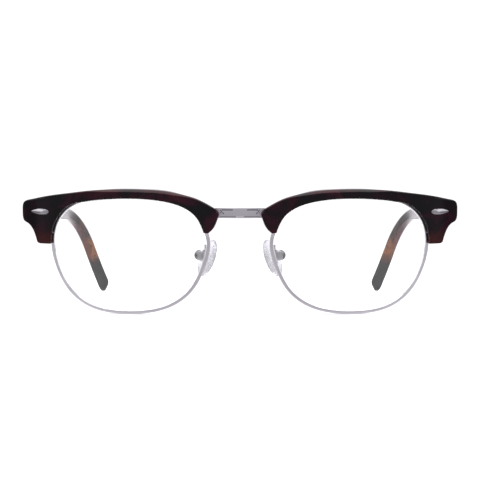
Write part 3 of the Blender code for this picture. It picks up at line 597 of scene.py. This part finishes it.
LOOK_BROW = acetate("brow_acetate", False)
LOOK_TEMPLE = acetate("temple_acetate", True)
LOOK_RIM = nickel("rim_nickel_silver", (0.92, 0.90, 0.94), 0.20)
LOOK_BRIDGE = nickel("bridge_nickel_silver", (0.76, 0.74, 0.78), 0.42, brushed=True)
# a darker copy of the bridge's nickel silver: painted shade for the engraved hollows
LOOK_RECESS_PAINTED_SHADE = nickel("recess_painted_shade_nickel_silver", (0.22, 0.20, 0.23), 0.45)
# a lighter copy of the bridge's nickel silver: a painted highlight on the raised block
LOOK_BLOCK_PAINTED_HIGHLIGHT = nickel("block_painted_highlight_nickel_silver", (0.90, 0.88, 0.92), 0.38)
LOOK_PLATE = nickel("plate_nickel_silver", (0.60, 0.59, 0.61), 0.20)
LOOK_CUP = nickel("cup_nickel_silver", (0.50, 0.49, 0.51), 0.10)
LOOK_STEEL = nickel("screw_steel", (0.50, 0.50, 0.52), 0.18)
LOOK_RIVET = nickel("rivet_polished", (0.46, 0.44, 0.47), 0.26)
LOOK_LENS = lens_look()
LOOK_PAD = silicone_look()


# ---- eyewires and lenses ----
LOCK_I = int(np.argmin(np.abs(LENS_FINE[:, 1] - LOCK_W) + (LENS_FINE[:, 0] < 0.0)))
LOCK_UV = LENS_FINE[LOCK_I]
LOCK_OUT = LENS_NORMAL[LOCK_I]
LOCK_RUN = np.array([-LOCK_OUT[1], LOCK_OUT[0]])


def lock_point(r, t, d):
    """Point by the rim lock, in millimetres: out from the lens edge, along it, and back."""
    u, w = LOCK_UV + LOCK_OUT * r * MM + LOCK_RUN * t * MM
    return place(u, w, d * MM)


def lock_box(r0, r1, t0, t1, d0, d1):
    corners = ((r0, d0), (r1, d0), (r1, d1), (r0, d1))
    return skin([[lock_point(r, t, d) for r, d in corners] for t in (t0, t1)])


def build_eyewire(side, tag):
    order = np.array([LENS_FINE[(LOCK_I + k) % OUTLINE_STEPS] for k in range(1, OUTLINE_STEPS)])
    # the split at the rim lock is drawn almost closed
    for end in (0, -1):
        order[end] = LOCK_UV + 0.35 * (order[end] - LOCK_UV)
    path = resample(order, RIM_RINGS)
    out = normals_of(path, False)
    rings = [[place(u + n[0] * r * MM, w + n[1] * r * MM, d * MM) for r, d in RIM_SECTION]
             for (u, w), n in zip(path, out)]
    make_piece("eyewire_fine_" + tag, skin(rings), side, "front", "eyewire_" + tag,
               LOOK_RIM)


def build_lens(side, tag):
    edge = resample(np.vstack([LENS_FINE, LENS_FINE[:1]]), LENS_SIDES, closed=True)
    out = normals_of(edge, True)
    half = LENS_THICK / 2.0
    inner = edge - out * LENS_BEVEL * MM
    levels = [i / LENS_LEVELS for i in range(1, LENS_LEVELS + 1)]
    points = [place(0.0, 0.0, -half)]
    for k in levels:
        points += [place(u * k, w * k, -half) for u, w in inner]
    for r, d in LENS_EDGE:
        points += [place(u, w, d * MM) for u, w in edge + out * r * MM]
    for k in reversed(levels):
        points += [place(u * k, w * k, half) for u, w in inner]
    points.append(place(0.0, 0.0, half))
    rings = len(levels) * 2 + len(LENS_EDGE)
    faces = ring_faces(rings, LENS_SIDES, start=1)
    last = 1 + (rings - 1) * LENS_SIDES
    for i in range(LENS_SIDES):
        j = (i + 1) % LENS_SIDES
        faces.append((0, 1 + j, 1 + i))
        faces.append((len(points) - 1, last + i, last + j))
    make_piece("lens_fine_" + tag, (points, faces), side, "front", "lens_" + tag, LOOK_LENS)


def build_rim_lock(side, tag):
    through = [lock_point(LOCK_SCREW_OUT, t, 0.0) for t in (-4.0, 4.0)]
    bore = rod(*through, LOCK_BORE_R * MM)
    near, far = LOCK_BLOCK_ALONG
    for part, t0, t1 in (("upper", near, far), ("lower", -far, -near)):
        block = lock_box(*LOCK_BLOCK_OUT, t0, t1, *LOCK_BLOCK_BACK)
        make_piece("lock_block_%s_%s" % (part, tag), block, side, "front",
                   "rim_lock_%s_%s" % (part, tag), LOOK_PLATE, cuts=[bore],
                   bevel=0.10 * MM)
    start, end = [lock_point(LOCK_SCREW_OUT, t, 0.0) for t in LOCK_SCREW_SPAN]
    slot = lock_box(0.60, 2.90, -2.60, -2.02, -SLOT_HALF, SLOT_HALF)
    make_piece("lock_screw_" + tag, turned(start, end, in_metres(LOCK_SCREW)), side, "front",
               "rim_lock_screw_" + tag, LOOK_STEEL, cuts=[slot])


# ---- brow ----
def brow_ring(start, end, inner_r, nasal, normal):
    """Closed section of the brow, from its inner edge at start to its outer edge at end.

    inner_r is how far start lies out from the lens edge, nasal is 1 on the thin part by the nose, and
    normal points away from the lens.
    """
    run = end - start
    width = hypot(run[0], run[1])
    run = run / width
    # one millimetre of the edge profiles, less where the brow is narrow
    k = min(1.0, width / (BROW_FULL_WIDTH * MM)) * MM
    # the bevel along the top narrows towards the end piece and towards the nose
    by_end_piece = 0.35 + 0.65 * smooth(-end[0], -0.015, -0.006)
    by_nose = 1.0 - 0.60 * smooth(-end[0], 0.014, 0.022)
    top = k * by_end_piece * by_nose
    # where the lip over the eyewire ends and the brow has its full depth
    step = min(width * 0.72, (0.80 * MM - inner_r) / max(0.5, float(run @ normal)))

    def front_at(t, d):
        u, w = start + run * t
        return brow_point(u, w, d - BROW_FRONT)

    def back_at(t, lift=0.0):
        u, w = start + run * t
        thin = -1.0 * MM * nasal + BROW_BACK * (1.0 - nasal)
        x, y, z = brow_point(u, w, thin)
        # the end piece reaches back to the temple, and the top edge runs level at both ends
        sweep = (BUTT_Y - y) * smooth(u, 0.0268, 0.0284) * smooth(w, 0.0082, 0.0104)
        ends = smooth(u, 0.004, 0.014) + 0.6 * smooth(-u, 0.012, 0.018)
        level = (thin + BROW_FRONT) * ends * smooth(w, 0.0120, 0.0150)
        return (x, y + sweep - lift, z - (sweep + level) * tan(TILT))

    ring = [front_at(t * k, d * k) for t, d in BROW_INNER_EDGE]
    low = BROW_INNER_EDGE[-1][0] * k
    high = width - 1.12 * top
    for i in range(1, BROW_FACE_STEPS + 1):
        ring.append(front_at(low + (high - low) * i / BROW_FACE_STEPS, 0.0))
    ring += [front_at(width - t * top, d * top) for t, d in BROW_TOP_EDGE]
    front_edge = ring[-1]
    edge = back_at(width)
    for share in (0.35, 0.70):
        ring.append(tuple(a + (b - a) * share * 0.9 for a, b in zip(front_edge, edge)))
    rim = 0.32 * k
    ring.append((edge[0], edge[1] - rim, edge[2]))
    ring.append(back_at(width - 0.09 * k, 0.09 * k))
    span = step - width + rim
    ring += [back_at(width - rim + span * i / BROW_BACK_STEPS) for i in range(BROW_BACK_STEPS)]
    ring.append(back_at(step + 0.12 * k, 0.0))
    ring.append(back_at(step, 0.10 * k * (1.0 - nasal)))
    # the wall beside the eyewire leans back under the lip
    for at_t in (step, 0.22 * k):
        u, w = start + run * at_t
        ring.append(brow_point(u, w, -1.05 * MM))
    return ring


def build_brow(side, tag):
    # the angle is scaled to about millimetres along the lens edge, to keep the curve's steps even
    scale = 0.35
    rings = []
    for a, u, w in spline([(angle * scale, u, w) for angle, u, w in BROW_STATIONS], BROW_RINGS):
        angle = a / scale
        base, normal = outline_at(angle)
        inner_r = (-0.50 + 0.80 * smooth(-angle, -52.0, -36.0)) * MM
        nasal = smooth(angle, 133.0, 141.0)
        rings.append(brow_ring(base + normal * inner_r, np.array([u, w]) * MM, inner_r, nasal, normal))
    cuts = [lock_box(-0.2, 3.15, -2.5, 2.0, -1.10, 9.0),
            box((HINGE_X - 1.75 * MM, BUTT_Y - 1.27 * MM, HINGE_Z - 3.12 * MM),
                (HINGE_X + 1.65 * MM, BUTT_Y + 3.0 * MM, HINGE_Z + 3.12 * MM))]
    x, y, z = brow_point(*RIVET_AT, -BROW_FRONT)
    cuts.append(rod((x, y - 3.0 * MM, z), (x, BUTT_Y - 1.0 * MM, z), RIVET_BORE_R * MM))
    cuts += [tab_bore(tab_frame(angle)) for angle, _ in BROW_TABS]
    make_piece("brow_fine_" + tag, skin(rings), side, "front", "brow_" + tag, LOOK_BROW,
               cuts=cuts, crease=40.0)


def tab_frame(angle):
    """Function for points by a brow tab, in millimetres: out from the lens edge, along it, and back."""
    base, normal = outline_at(angle)
    along = np.array([normal[1], -normal[0]])

    def at(r, t, d):
        u, w = base + normal * r * MM + along * t * MM
        return place(u, w, d * MM)
    return at


def tab_bore(at):
    return rod(at(TAB_SCREW_OUT, 0.0, -1.0), at(TAB_SCREW_OUT, 0.0, 3.0), TAB_BORE_R * MM)


def build_tabs(side, tag):
    front, back = TAB_BACK
    for angle, where in BROW_TABS:
        at = tab_frame(angle)
        rings = []
        for t in np.linspace(-TAB_HALF, TAB_HALF, 25):
            reach = TAB_REACH - 0.9 * (abs(t) / TAB_HALF) ** 2.6
            corners = ((-0.10, front), (reach, front), (reach, back), (-0.10, back))
            rings.append([at(r, t, d) for r, d in corners])
        make_piece("tab_%s_%s" % (where, tag), skin(rings), side, "front",
                   "brow_tab_%s_%s" % (where, tag), LOOK_PLATE, cuts=[tab_bore(at)],
                   bevel=0.06 * MM, crease=30.0)
        start, end = [at(TAB_SCREW_OUT, 0.0, d) for d in BROW_SCREW_SPAN]
        slot = skin([[at(r, t, d) for r, d in ((0.8, 2.07), (2.8, 2.07), (2.8, 2.7), (0.8, 2.7))]
                     for t in (-SLOT_HALF, SLOT_HALF)])
        make_piece("tab_screw_%s_%s" % (where, tag), turned(start, end, in_metres(BROW_SCREW)), side,
                   "front", "brow_screw_%s_%s" % (where, tag), LOOK_STEEL, cuts=[slot])


def build_rivet(side, tag):
    loop = spline([(u * MM, w * MM) for u, w in RIVET_OUTLINE], 96, closed=True)
    centre = np.array(RIVET_AT)
    # share of the outline, and height above the brow's face in millimetres
    levels = [(0.5, 0.06), (0.985, 0.06), (1.0, 0.10), (1.0, 0.15), (0.985, 0.19)]
    levels += [(0.985 * (1.0 - i / 24.0), 0.19 + 0.37 * (i / 24.0) ** 0.75) for i in range(1, 24)]
    rings = []
    for scale, lift in levels:
        outline = centre + (loop - centre) * scale
        rings.append([brow_point(u, w, -BROW_FRONT - lift * MM) for u, w in outline])
    x, y, z = brow_point(centre[0], centre[1], -BROW_FRONT)
    shank = rod((x, y - 0.09 * MM, z), (x, BUTT_Y - 1.35 * MM, z), RIVET_SHANK_R * MM)
    make_piece("rivet_cap_" + tag, skin(rings), side, "front", "rivet_" + tag,
               LOOK_RIVET, joins=[shank])


# ---- hinge ----
def knuckle_span(index):
    low = HINGE_Z + (index - 2.5) * KNUCKLE_PITCH + KNUCKLE_GAP / 2.0
    return low, low + KNUCKLE_PITCH - KNUCKLE_GAP


def build_leaf(name, side, ride, node, plate, arm_low, arm_high, turns):
    """Hinge leaf: its plate, and knuckles at the places in turns, each held to the plate by an arm."""
    ease = 0.07 * MM
    joins = []
    for i in turns:
        z0, z1 = knuckle_span(i)
        profile = [(0.0, KNUCKLE_R - ease), (ease, KNUCKLE_R), (z1 - z0 - ease, KNUCKLE_R),
                   (z1 - z0, KNUCKLE_R - ease)]
        joins.append(turned((HINGE_X, HINGE_Y, z0), (HINGE_X, HINGE_Y, z1), profile))
        # the arm stops just short of the knuckle's two ends
        joins.append(box((*arm_low, z0 + ARM_SHORT), (*arm_high, z1 - ARM_SHORT)))
    bore = rod((HINGE_X, HINGE_Y, HINGE_Z - 5 * MM), (HINGE_X, HINGE_Y, HINGE_Z + 5 * MM), HINGE_BORE_R)
    make_piece(name, box(*plate), side, ride, node, LOOK_PLATE, joins=joins,
               cuts=[bore], crease=28.0)


def build_hinge(side, tag):
    build_leaf("front_leaf_" + tag, side, "front", "hinge_front_leaf_" + tag,
               ((HINGE_X - 1.65 * MM, BUTT_Y - 1.20 * MM, HINGE_Z - 3.02 * MM),
                (HINGE_X + 1.55 * MM, BUTT_Y, HINGE_Z + 3.02 * MM)),
               (HINGE_X - 1.15 * MM, BUTT_Y - 0.5 * MM), (HINGE_X + 1.05 * MM, HINGE_Y), (0, 2, 4))
    build_leaf("temple_leaf_" + tag, side, "temple_" + tag, "hinge_temple_leaf_" + tag,
               ((HINGE_X + 1.90 * MM, HINGE_Y - 1.10 * MM, HINGE_Z - 2.30 * MM),
                (HINGE_X + 3.10 * MM, HINGE_Y + 8.2 * MM, HINGE_Z + 2.30 * MM)),
               (HINGE_X, HINGE_Y - 1.0 * MM), (HINGE_X + 2.3 * MM, HINGE_Y + 1.1 * MM), (1, 3))
    half = 2.5 * KNUCKLE_PITCH
    base = HINGE_Z - half
    profile = [(0.0, 0.50 * MM), (0.10 * MM, 0.60 * MM)]
    profile += [(2.0 * half + a * MM, r * MM) for a, r in HINGE_SCREW_HEAD]
    screw = turned((HINGE_X, HINGE_Y, base), (HINGE_X, HINGE_Y, base + 1.0), profile)
    slot = box((HINGE_X - 2 * MM, HINGE_Y - HINGE_SLOT_HALF * MM, HINGE_Z + half + 0.33 * MM),
               (HINGE_X + 2 * MM, HINGE_Y + HINGE_SLOT_HALF * MM, HINGE_Z + half + 1 * MM))
    make_piece("pivot_screw_" + tag, screw, side, "front", "hinge_screw_" + tag, LOOK_STEEL,
               cuts=[slot])


# ---- temple ----
def ear_inward(y):
    """How far the ear part has bent in towards the head at a depth."""
    return EAR_CURL * max(0.0, y - EAR_CURL_Y) ** 2


def temple_centre(s):
    """Level centre point, lean of the ear part, and section size, s along the temple from its front."""
    begin = BUTT_Y * cos(TILT) - HINGE_Z * sin(TILT)
    straight = TEMPLE_STRAIGHT_Y - begin
    arc = TEMPLE_BEND_R * TEMPLE_BEND
    if s <= straight:
        y, z, lean = begin + s, TEMPLE_Z, 0.0
    elif s <= straight + arc:
        lean = (s - straight) / TEMPLE_BEND_R
        y = TEMPLE_STRAIGHT_Y + TEMPLE_BEND_R * sin(lean)
        z = TEMPLE_Z - TEMPLE_BEND_R * (1.0 - cos(lean))
    else:
        lean = TEMPLE_BEND
        more = s - straight - arc
        y = TEMPLE_STRAIGHT_Y + TEMPLE_BEND_R * sin(lean) + more * cos(lean)
        z = TEMPLE_Z - TEMPLE_BEND_R * (1.0 - cos(lean)) - more * sin(lean)
    # deeper and thicker at the hinge, slim along the side, and a little wider over the ear
    fade = smooth(s, 0.0, 0.045)
    z = z + (1.0 - fade) * 0.85 * MM
    tail = smooth(s, 0.095, 0.128)
    tall, thick = [(a * (1.0 - fade) + b * fade + c * tail) * MM
                   for a, b, c in zip(TEMPLE_AT_HINGE, TEMPLE_ALONG, TEMPLE_EAR_ADDS)]
    end = TEMPLE_LENGTH - s
    if end < TEMPLE_TIP * MM:
        round_off = sqrt(max(0.0, 1.0 - (1.0 - end / (TEMPLE_TIP * MM)) ** 2))
        tall = tall * (0.12 + 0.88 * round_off)
        thick = thick * (0.20 + 0.80 * round_off)
    x = TEMPLE_OUT_X - thick / 2.0 - ear_inward(y)
    return x, y, z, lean, tall, thick


def temple_section(s):
    """Rounded rectangle across the temple, each point bent in by what its own depth asks for."""
    x, y, z, lean, tall, thick = temple_centre(s)
    c = min(TEMPLE_CORNER * MM, thick * 0.40)
    hx = thick / 2.0
    hz = tall / 2.0
    points = []
    for quarter, (sx, sz) in enumerate(((1, 1), (-1, 1), (-1, -1), (1, -1))):
        for i in range(9):
            angle = pi / 2.0 * (i / 8.0 + quarter)
            a = sx * (hx - c) + c * cos(angle)
            b = sz * (hz - c) + c * sin(angle)
            deep = y + b * sin(lean)
            across = x + a + ear_inward(y) - ear_inward(deep)
            points.append(level_to_front(across, deep, z + b * cos(lean)))
    return points


def build_temple(side, tag):
    stops = list(np.linspace(0.0, 0.085, 60)) + list(np.linspace(0.0855, 0.1400, 90))
    stops += [TEMPLE_LENGTH - 6.0 * MM * (1.0 - i / 24.0) ** 1.6 for i in range(1, 25)]
    rings = [temple_section(s) for s in stops]
    rings[0] = [(x, BUTT_Y + 0.08 * MM, z) for x, y, z in rings[0]]
    pocket = box((HINGE_X + 1.0 * MM, BUTT_Y - 2.0 * MM, HINGE_Z - 2.40 * MM),
                 (HINGE_X + 3.18 * MM, HINGE_Y + 8.3 * MM, HINGE_Z + 2.40 * MM))
    core = [level_to_front(*temple_centre(-0.002 + 0.130 * i / 119.0)[:3]) for i in range(120)]
    make_piece("temple_fine_" + tag, skin(rings), side, "temple_" + tag, "temple_" + tag,
               LOOK_TEMPLE, cuts=[tube(core, TEMPLE_CORE_R * MM, 16), pocket], crease=40.0)


# ---- bridge ----
def rim_side_x(z):
    """Where the bridge meets the side of the eyewire, at a height."""
    outer = LENS_FINE + LENS_NORMAL * 0.80 * MM
    nose = outer[(outer[:, 0] < -0.012) & (outer[:, 1] > 0.006)]
    nose = nose[np.argsort(nose[:, 1])]
    u = np.interp(z, nose[:, 1], nose[:, 0])
    return min(place(u, z, d * MM)[0] for d in (-0.95, 0.95)) - FIT


def bar(value, centre, half, soft):
    """1 inside a band about centre, easing to 0 over soft outside it."""
    return 1.0 - smooth(abs(value - centre), half, half + soft)


def engraving(x, h):
    """Depth in millimetres cut into the bridge's face at x across and h up from its middle."""
    a = abs(x)
    # long slots above, a fine line below, and a raised block in the middle of that line
    depth = 0.10 * bar(a, 4.15, 1.75, 0.10) * bar(h, 0.98, 0.13, 0.08)
    depth += 0.06 * bar(h, -1.22, 0.07, 0.06) * bar(a, 3.9, 2.5, 0.15)
    depth -= 0.05 * bar(a, 0.0, 1.25, 0.08) * bar(h, -1.22, 0.20, 0.08)
    # two slanted strokes and a short upright one at each end
    for slant in (1.0, -1.0):
        stroke = bar(a - slant * (h - 0.05) * 0.8, 6.15 - 0.35 * slant, 0.07, 0.07)
        depth += 0.09 * stroke * bar(h, 0.45, 0.55, 0.1)
    depth += 0.09 * bar(a, 5.45, 0.10, 0.06) * bar(h, -0.15, 0.20, 0.08)
    return depth


def build_bridge():
    half = BRIDGE_HEIGHT / 2.0
    t = BRIDGE_THICK / 2.0
    # the face is cut finely enough for the engraving, and the other sides have eased corners
    section = [(-t, z) for z in np.linspace(-half + 0.16 * MM, half - 0.16 * MM, 44)]
    section += [(-t + 0.03 * MM, half - 0.07 * MM), (-t + 0.09 * MM, half - 0.01 * MM),
                (-t + 0.16 * MM, half), (0.0, half), (t - 0.16 * MM, half),
                (t - 0.05 * MM, half - 0.05 * MM), (t, half - 0.16 * MM), (t, 0.0),
                (t, -half + 0.16 * MM), (t - 0.05 * MM, -half + 0.05 * MM), (t - 0.16 * MM, -half),
                (0.0, -half), (-t + 0.16 * MM, -half), (-t + 0.09 * MM, -half + 0.01 * MM),
                (-t + 0.03 * MM, -half + 0.07 * MM)]
    rings = []
    for i in range(BRIDGE_RINGS):
        f = 2.0 * i / (BRIDGE_RINGS - 1) - 1.0
        ring = []
        for dy, dz in section:
            z = BRIDGE_Z + dz
            x = rim_side_x(z) * f
            y = 0.68 * MM - 0.45 * MM * (1.0 - smooth(abs(x), 0.0, 7.5 * MM))
            cut = engraving(x / MM, dz / MM) * MM if dy <= -t else 0.0
            ring.append((x, y + dy + cut, z))
        rings.append(ring)
    bridge = make_piece("bridge_bar", skin(rings), 1.0, "front", "bridge", LOOK_BRIDGE,
                        crease=50.0)
    bridge.data.materials.append(LOOK_RECESS_PAINTED_SHADE)
    bridge.data.materials.append(LOOK_BLOCK_PAINTED_HIGHLIGHT)
    middle_z = to_row((0.0, 0.0, BRIDGE_Z), 1.0)[2]
    # the engraved hollows take the darker copy as painted shade
    for face in bridge.data.polygons:
        depth = engraving(face.center.x / MM, (face.center.z - middle_z) / MM / cos(TILT))
        if face.normal.y < -0.3 and abs(depth) > 0.03:
            # the raised block takes the lighter copy as a painted highlight
            face.material_index = 1 if depth > 0.0 else 2


# ---- nose pads ----
INWARD = Vector((-cos(PAD_SPLAY), sin(PAD_SPLAY), 0.0))
UP = Vector((0.0, 0.0, 1.0))
WIDE = Vector((sin(PAD_SPLAY), cos(PAD_SPLAY), 0.0))
LONG = UP * cos(PAD_FLARE) + INWARD * sin(PAD_FLARE)
FACE = INWARD * cos(PAD_FLARE) - UP * sin(PAD_FLARE)
PAD_AT = Vector(PAD_CENTRE)
DEEP = -PAD_PIVOT / MM


def pad_point(along, across, out):
    """Point by the pad, in millimetres: along its length, across it, and out towards the nose."""
    return tuple(PAD_AT + LONG * along * MM + WIDE * across * MM + FACE * out * MM)


def pad_box(l0, l1, w0, w1, n0, n1):
    ring = ((l0, w0), (l1, w0), (l1, w1), (l0, w1))
    return skin([[pad_point(a, b, n) for a, b in ring] for n in (n0, n1)])


def build_pad(side, tag):
    half = [v / MM / 2.0 for v in PAD_SIZE]
    # the share is scaled to about millimetres, to keep the curve's steps even
    reach = 3.0
    rings = []
    for scale, out in spline([(share * reach, out) for share, out in PAD_PROFILE], 40):
        ring = []
        for k in range(PAD_SIDES):
            angle = 2.0 * pi * k / PAD_SIDES
            wide = half[1] * sin(angle) * (1.0 - 0.10 * cos(angle))
            ring.append(pad_point(half[0] * cos(angle) * scale / reach, wide * scale / reach, out))
        rings.append(ring)
    pocket = pad_box(-2.15, 2.15, -0.75, 0.75, -2.0, -0.15)
    pad = make_piece("pad_soft_" + tag, skin(rings), side, "pad_" + tag, "nose_pad_" + tag,
                     LOOK_PAD, cuts=[pocket], crease=40.0)
    joins = [pad_box(-1.0, 1.0, -0.5, 0.5, DEEP, -0.9),
             rod(pad_point(0, -0.5, DEEP), pad_point(0, 0.5, DEEP), LUG_EYE_R * MM)]
    bore = rod(pad_point(0, -4, DEEP), pad_point(0, 4, DEEP), PAD_BORE_R * MM)
    make_piece("pad_tongue_" + tag, pad_box(-2.05, 2.05, -0.65, 0.65, -1.10, -0.25), side, "pad_" + tag,
               "pad_lug_" + tag, LOOK_STEEL, joins=joins, cuts=[bore], crease=28.0)
    cup = turned(pad_point(0, -CUP_HALF, DEEP), pad_point(0, CUP_HALF, DEEP), in_metres(CUP_PROFILE), 72)
    slot = pad_box(-3.0, 3.0, -CUP_SLOT, CUP_SLOT, DEEP - LUG_EYE_R - 0.08, DEEP + 3.0)
    make_piece("pad_bracket_" + tag, cup, side, "front", "pad_cup_" + tag, LOOK_CUP,
               cuts=[slot, bore], crease=28.0)
    screw = turned(pad_point(0, -1.1, DEEP), pad_point(0, 1.6, DEEP), in_metres(PAD_SCREW))
    make_piece("pad_pivot_" + tag, screw, side, "front", "pad_screw_" + tag, LOOK_STEEL,
               cuts=[pad_box(-1.2, 1.2, 1.42, 2.2, DEEP - 0.12, DEEP + 0.12)])
    # the wire runs from the eyewire to the cup's front cheek, and thickens at both ends
    cheek = (CUP_HALF + CUP_SLOT) / 2.0
    keys = [Vector(k) * MM for k in PAD_ARM_ROUTE]
    keys += [Vector(pad_point(CUP_R + 1.0, -cheek, DEEP + 0.50)),
             Vector(pad_point(CUP_R + 0.03, -cheek, DEEP + 0.32))]
    path = [tuple(p) for p in spline(keys, ARM_RINGS)]
    radii = [(0.45 + 0.07 * smooth(-i, -8, 0) + 0.07 * smooth(i, ARM_RINGS - 9, ARM_RINGS - 1)) * MM
             for i in range(ARM_RINGS)]
    make_piece("pad_wire_" + tag, tube(path, radii), side, "front", "pad_arm_" + tag,
               LOOK_PLATE)


for hand, tag in ((1.0, "left"), (-1.0, "right")):
    build_eyewire(hand, tag)
    build_lens(hand, tag)
    build_rim_lock(hand, tag)
    build_brow(hand, tag)
    build_tabs(hand, tag)
    build_rivet(hand, tag)
    build_hinge(hand, tag)
    build_temple(hand, tag)
    build_pad(hand, tag)
    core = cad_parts["temple_core_" + tag]
    core.data.materials.clear()
    core.data.materials.append(LOOK_STEEL)
build_bridge()


# ---- studio ----
# name, place, turn in degrees, size, power
LAMPS = [("top_softbox", (0.0, 0.10, 0.85), (0.0, 0.0, 0.0), (1.1, 0.8), 7.0),
         ("left_softbox", (-0.95, -0.25, 0.40), (0.0, -68.0, 0.0), (0.5, 0.8), 1.5),
         ("right_softbox", (0.95, -0.25, 0.40), (0.0, 68.0, 0.0), (0.5, 0.8), 1.5)]
FLOOR_HALF = 9
FOCAL_LENGTH = 102.1
CAMERA_AWAY = 0.450
CAMERA_HEIGHT = 0.0320
AIM_HEIGHT = 0.0247


def build_stage():
    mesh = bpy.data.meshes.new("studio_floor")
    corners = [(x * FLOOR_HALF, y * FLOOR_HALF, 0) for x, y in ((-1, -1), (1, -1), (1, 1), (-1, 1))]
    mesh.from_pydata(corners, [], [(0, 1, 2, 3)])
    floor = bpy.data.objects.new("studio_floor", mesh)
    bpy.context.scene.collection.objects.link(floor)
    n = Nodes("floor_paper")
    at, _ = n.coords()
    n.set(Base_Color=n.mix(n.noise(at, 3.0), (0.93, 0.93, 0.935), (0.95, 0.95, 0.95)), Roughness=0.9,
          Specular_IOR_Level=0.0)
    mesh.materials.append(n.mat)
    floor.visible_glossy = False
    for name, at, turn, size, power in LAMPS:
        lamp = bpy.data.lights.new(name, "AREA")
        lamp.shape = "RECTANGLE"
        lamp.size, lamp.size_y = size
        lamp.energy = power
        holder = bpy.data.objects.new(name, lamp)
        bpy.context.scene.collection.objects.link(holder)
        holder.location = at
        holder.rotation_euler = [radians(v) for v in turn]


def build_world():
    """White surround for what is seen directly, and a studio with dim patches for reflections."""
    world = bpy.data.worlds.new("studio")
    bpy.context.scene.world = world
    world.use_nodes = True
    tree = world.node_tree
    tree.nodes.clear()

    def add(kind, **values):
        node = tree.nodes.new(kind)
        for key, value in values.items():
            setattr(node, key, value)
        return node

    def link(source, target):
        tree.links.new(source, target)

    def ramp(source, low, high, at_low, at_high):
        node = add("ShaderNodeMapRange", interpolation_type="SMOOTHSTEP")
        settings = (("From Min", low), ("From Max", high), ("To Min", at_low), ("To Max", at_high))
        for socket, value in settings:
            node.inputs[socket].default_value = value
        link(source, node.inputs["Value"])
        return node.outputs["Result"]

    def math(operation, a, b=None):
        node = add("ShaderNodeMath", operation=operation)
        link(a, node.inputs[0])
        if b is not None:
            link(b, node.inputs[1])
        return node.outputs[0]

    split = add("ShaderNodeSeparateXYZ")
    link(add("ShaderNodeTexCoord").outputs["Generated"], split.inputs[0])
    # dimmer straight behind the camera, brighter on the far side, and dark flats on both sides
    camera_side = ramp(split.outputs["Y"], -0.97, -0.60, 0.45, 0.66)
    far_side = ramp(split.outputs["Y"], 0.50, 0.90, 1.0, 1.80)
    beside = ramp(math("ABSOLUTE", split.outputs["X"]), 0.28, 0.50, 0.0, 1.0)
    level = ramp(math("ABSOLUTE", split.outputs["Z"]), 0.25, 0.50, 1.0, 0.0)
    behind = ramp(split.outputs["Y"], -0.45, 0.0, 0.28, 1.0)
    flats = ramp(math("MULTIPLY", math("MULTIPLY", beside, level), behind), 0.0, 1.0, 1.0, 0.22)
    plain = add("ShaderNodeBackground")
    plain.inputs["Color"].default_value = (1.0, 1.0, 1.0, 1.0)
    plain.inputs["Strength"].default_value = 1.1
    mirror = add("ShaderNodeBackground")
    mirror.inputs["Color"].default_value = (0.97, 0.94, 1.0, 1.0)
    link(math("MULTIPLY", math("MULTIPLY", camera_side, far_side), flats), mirror.inputs["Strength"])
    path = add("ShaderNodeLightPath")
    pick = add("ShaderNodeMixShader")
    glossy = path.outputs["Is Glossy Ray"]
    link(math("SUBTRACT", glossy, path.outputs["Is Transmission Ray"]), pick.inputs[0])
    link(plain.outputs[0], pick.inputs[1])
    link(mirror.outputs[0], pick.inputs[2])
    link(pick.outputs[0], add("ShaderNodeOutputWorld").inputs[0])


def build_camera():
    camera = bpy.data.objects.new("camera", bpy.data.cameras.new("camera"))
    bpy.context.scene.collection.objects.link(camera)
    camera.data.sensor_width = 36.0
    camera.data.lens = FOCAL_LENGTH
    camera.data.clip_start = 0.01
    camera.location = (0.0, -DEPTH_SHIFT - CAMERA_AWAY, CAMERA_HEIGHT)
    aim = Vector((0.0, -DEPTH_SHIFT, AIM_HEIGHT)) - camera.location
    camera.rotation_euler = aim.to_track_quat("-Z", "Y").to_euler()
    bpy.context.scene.camera = camera


build_stage()
build_world()
build_camera()
bpy.context.scene.view_settings.view_transform = "Standard"
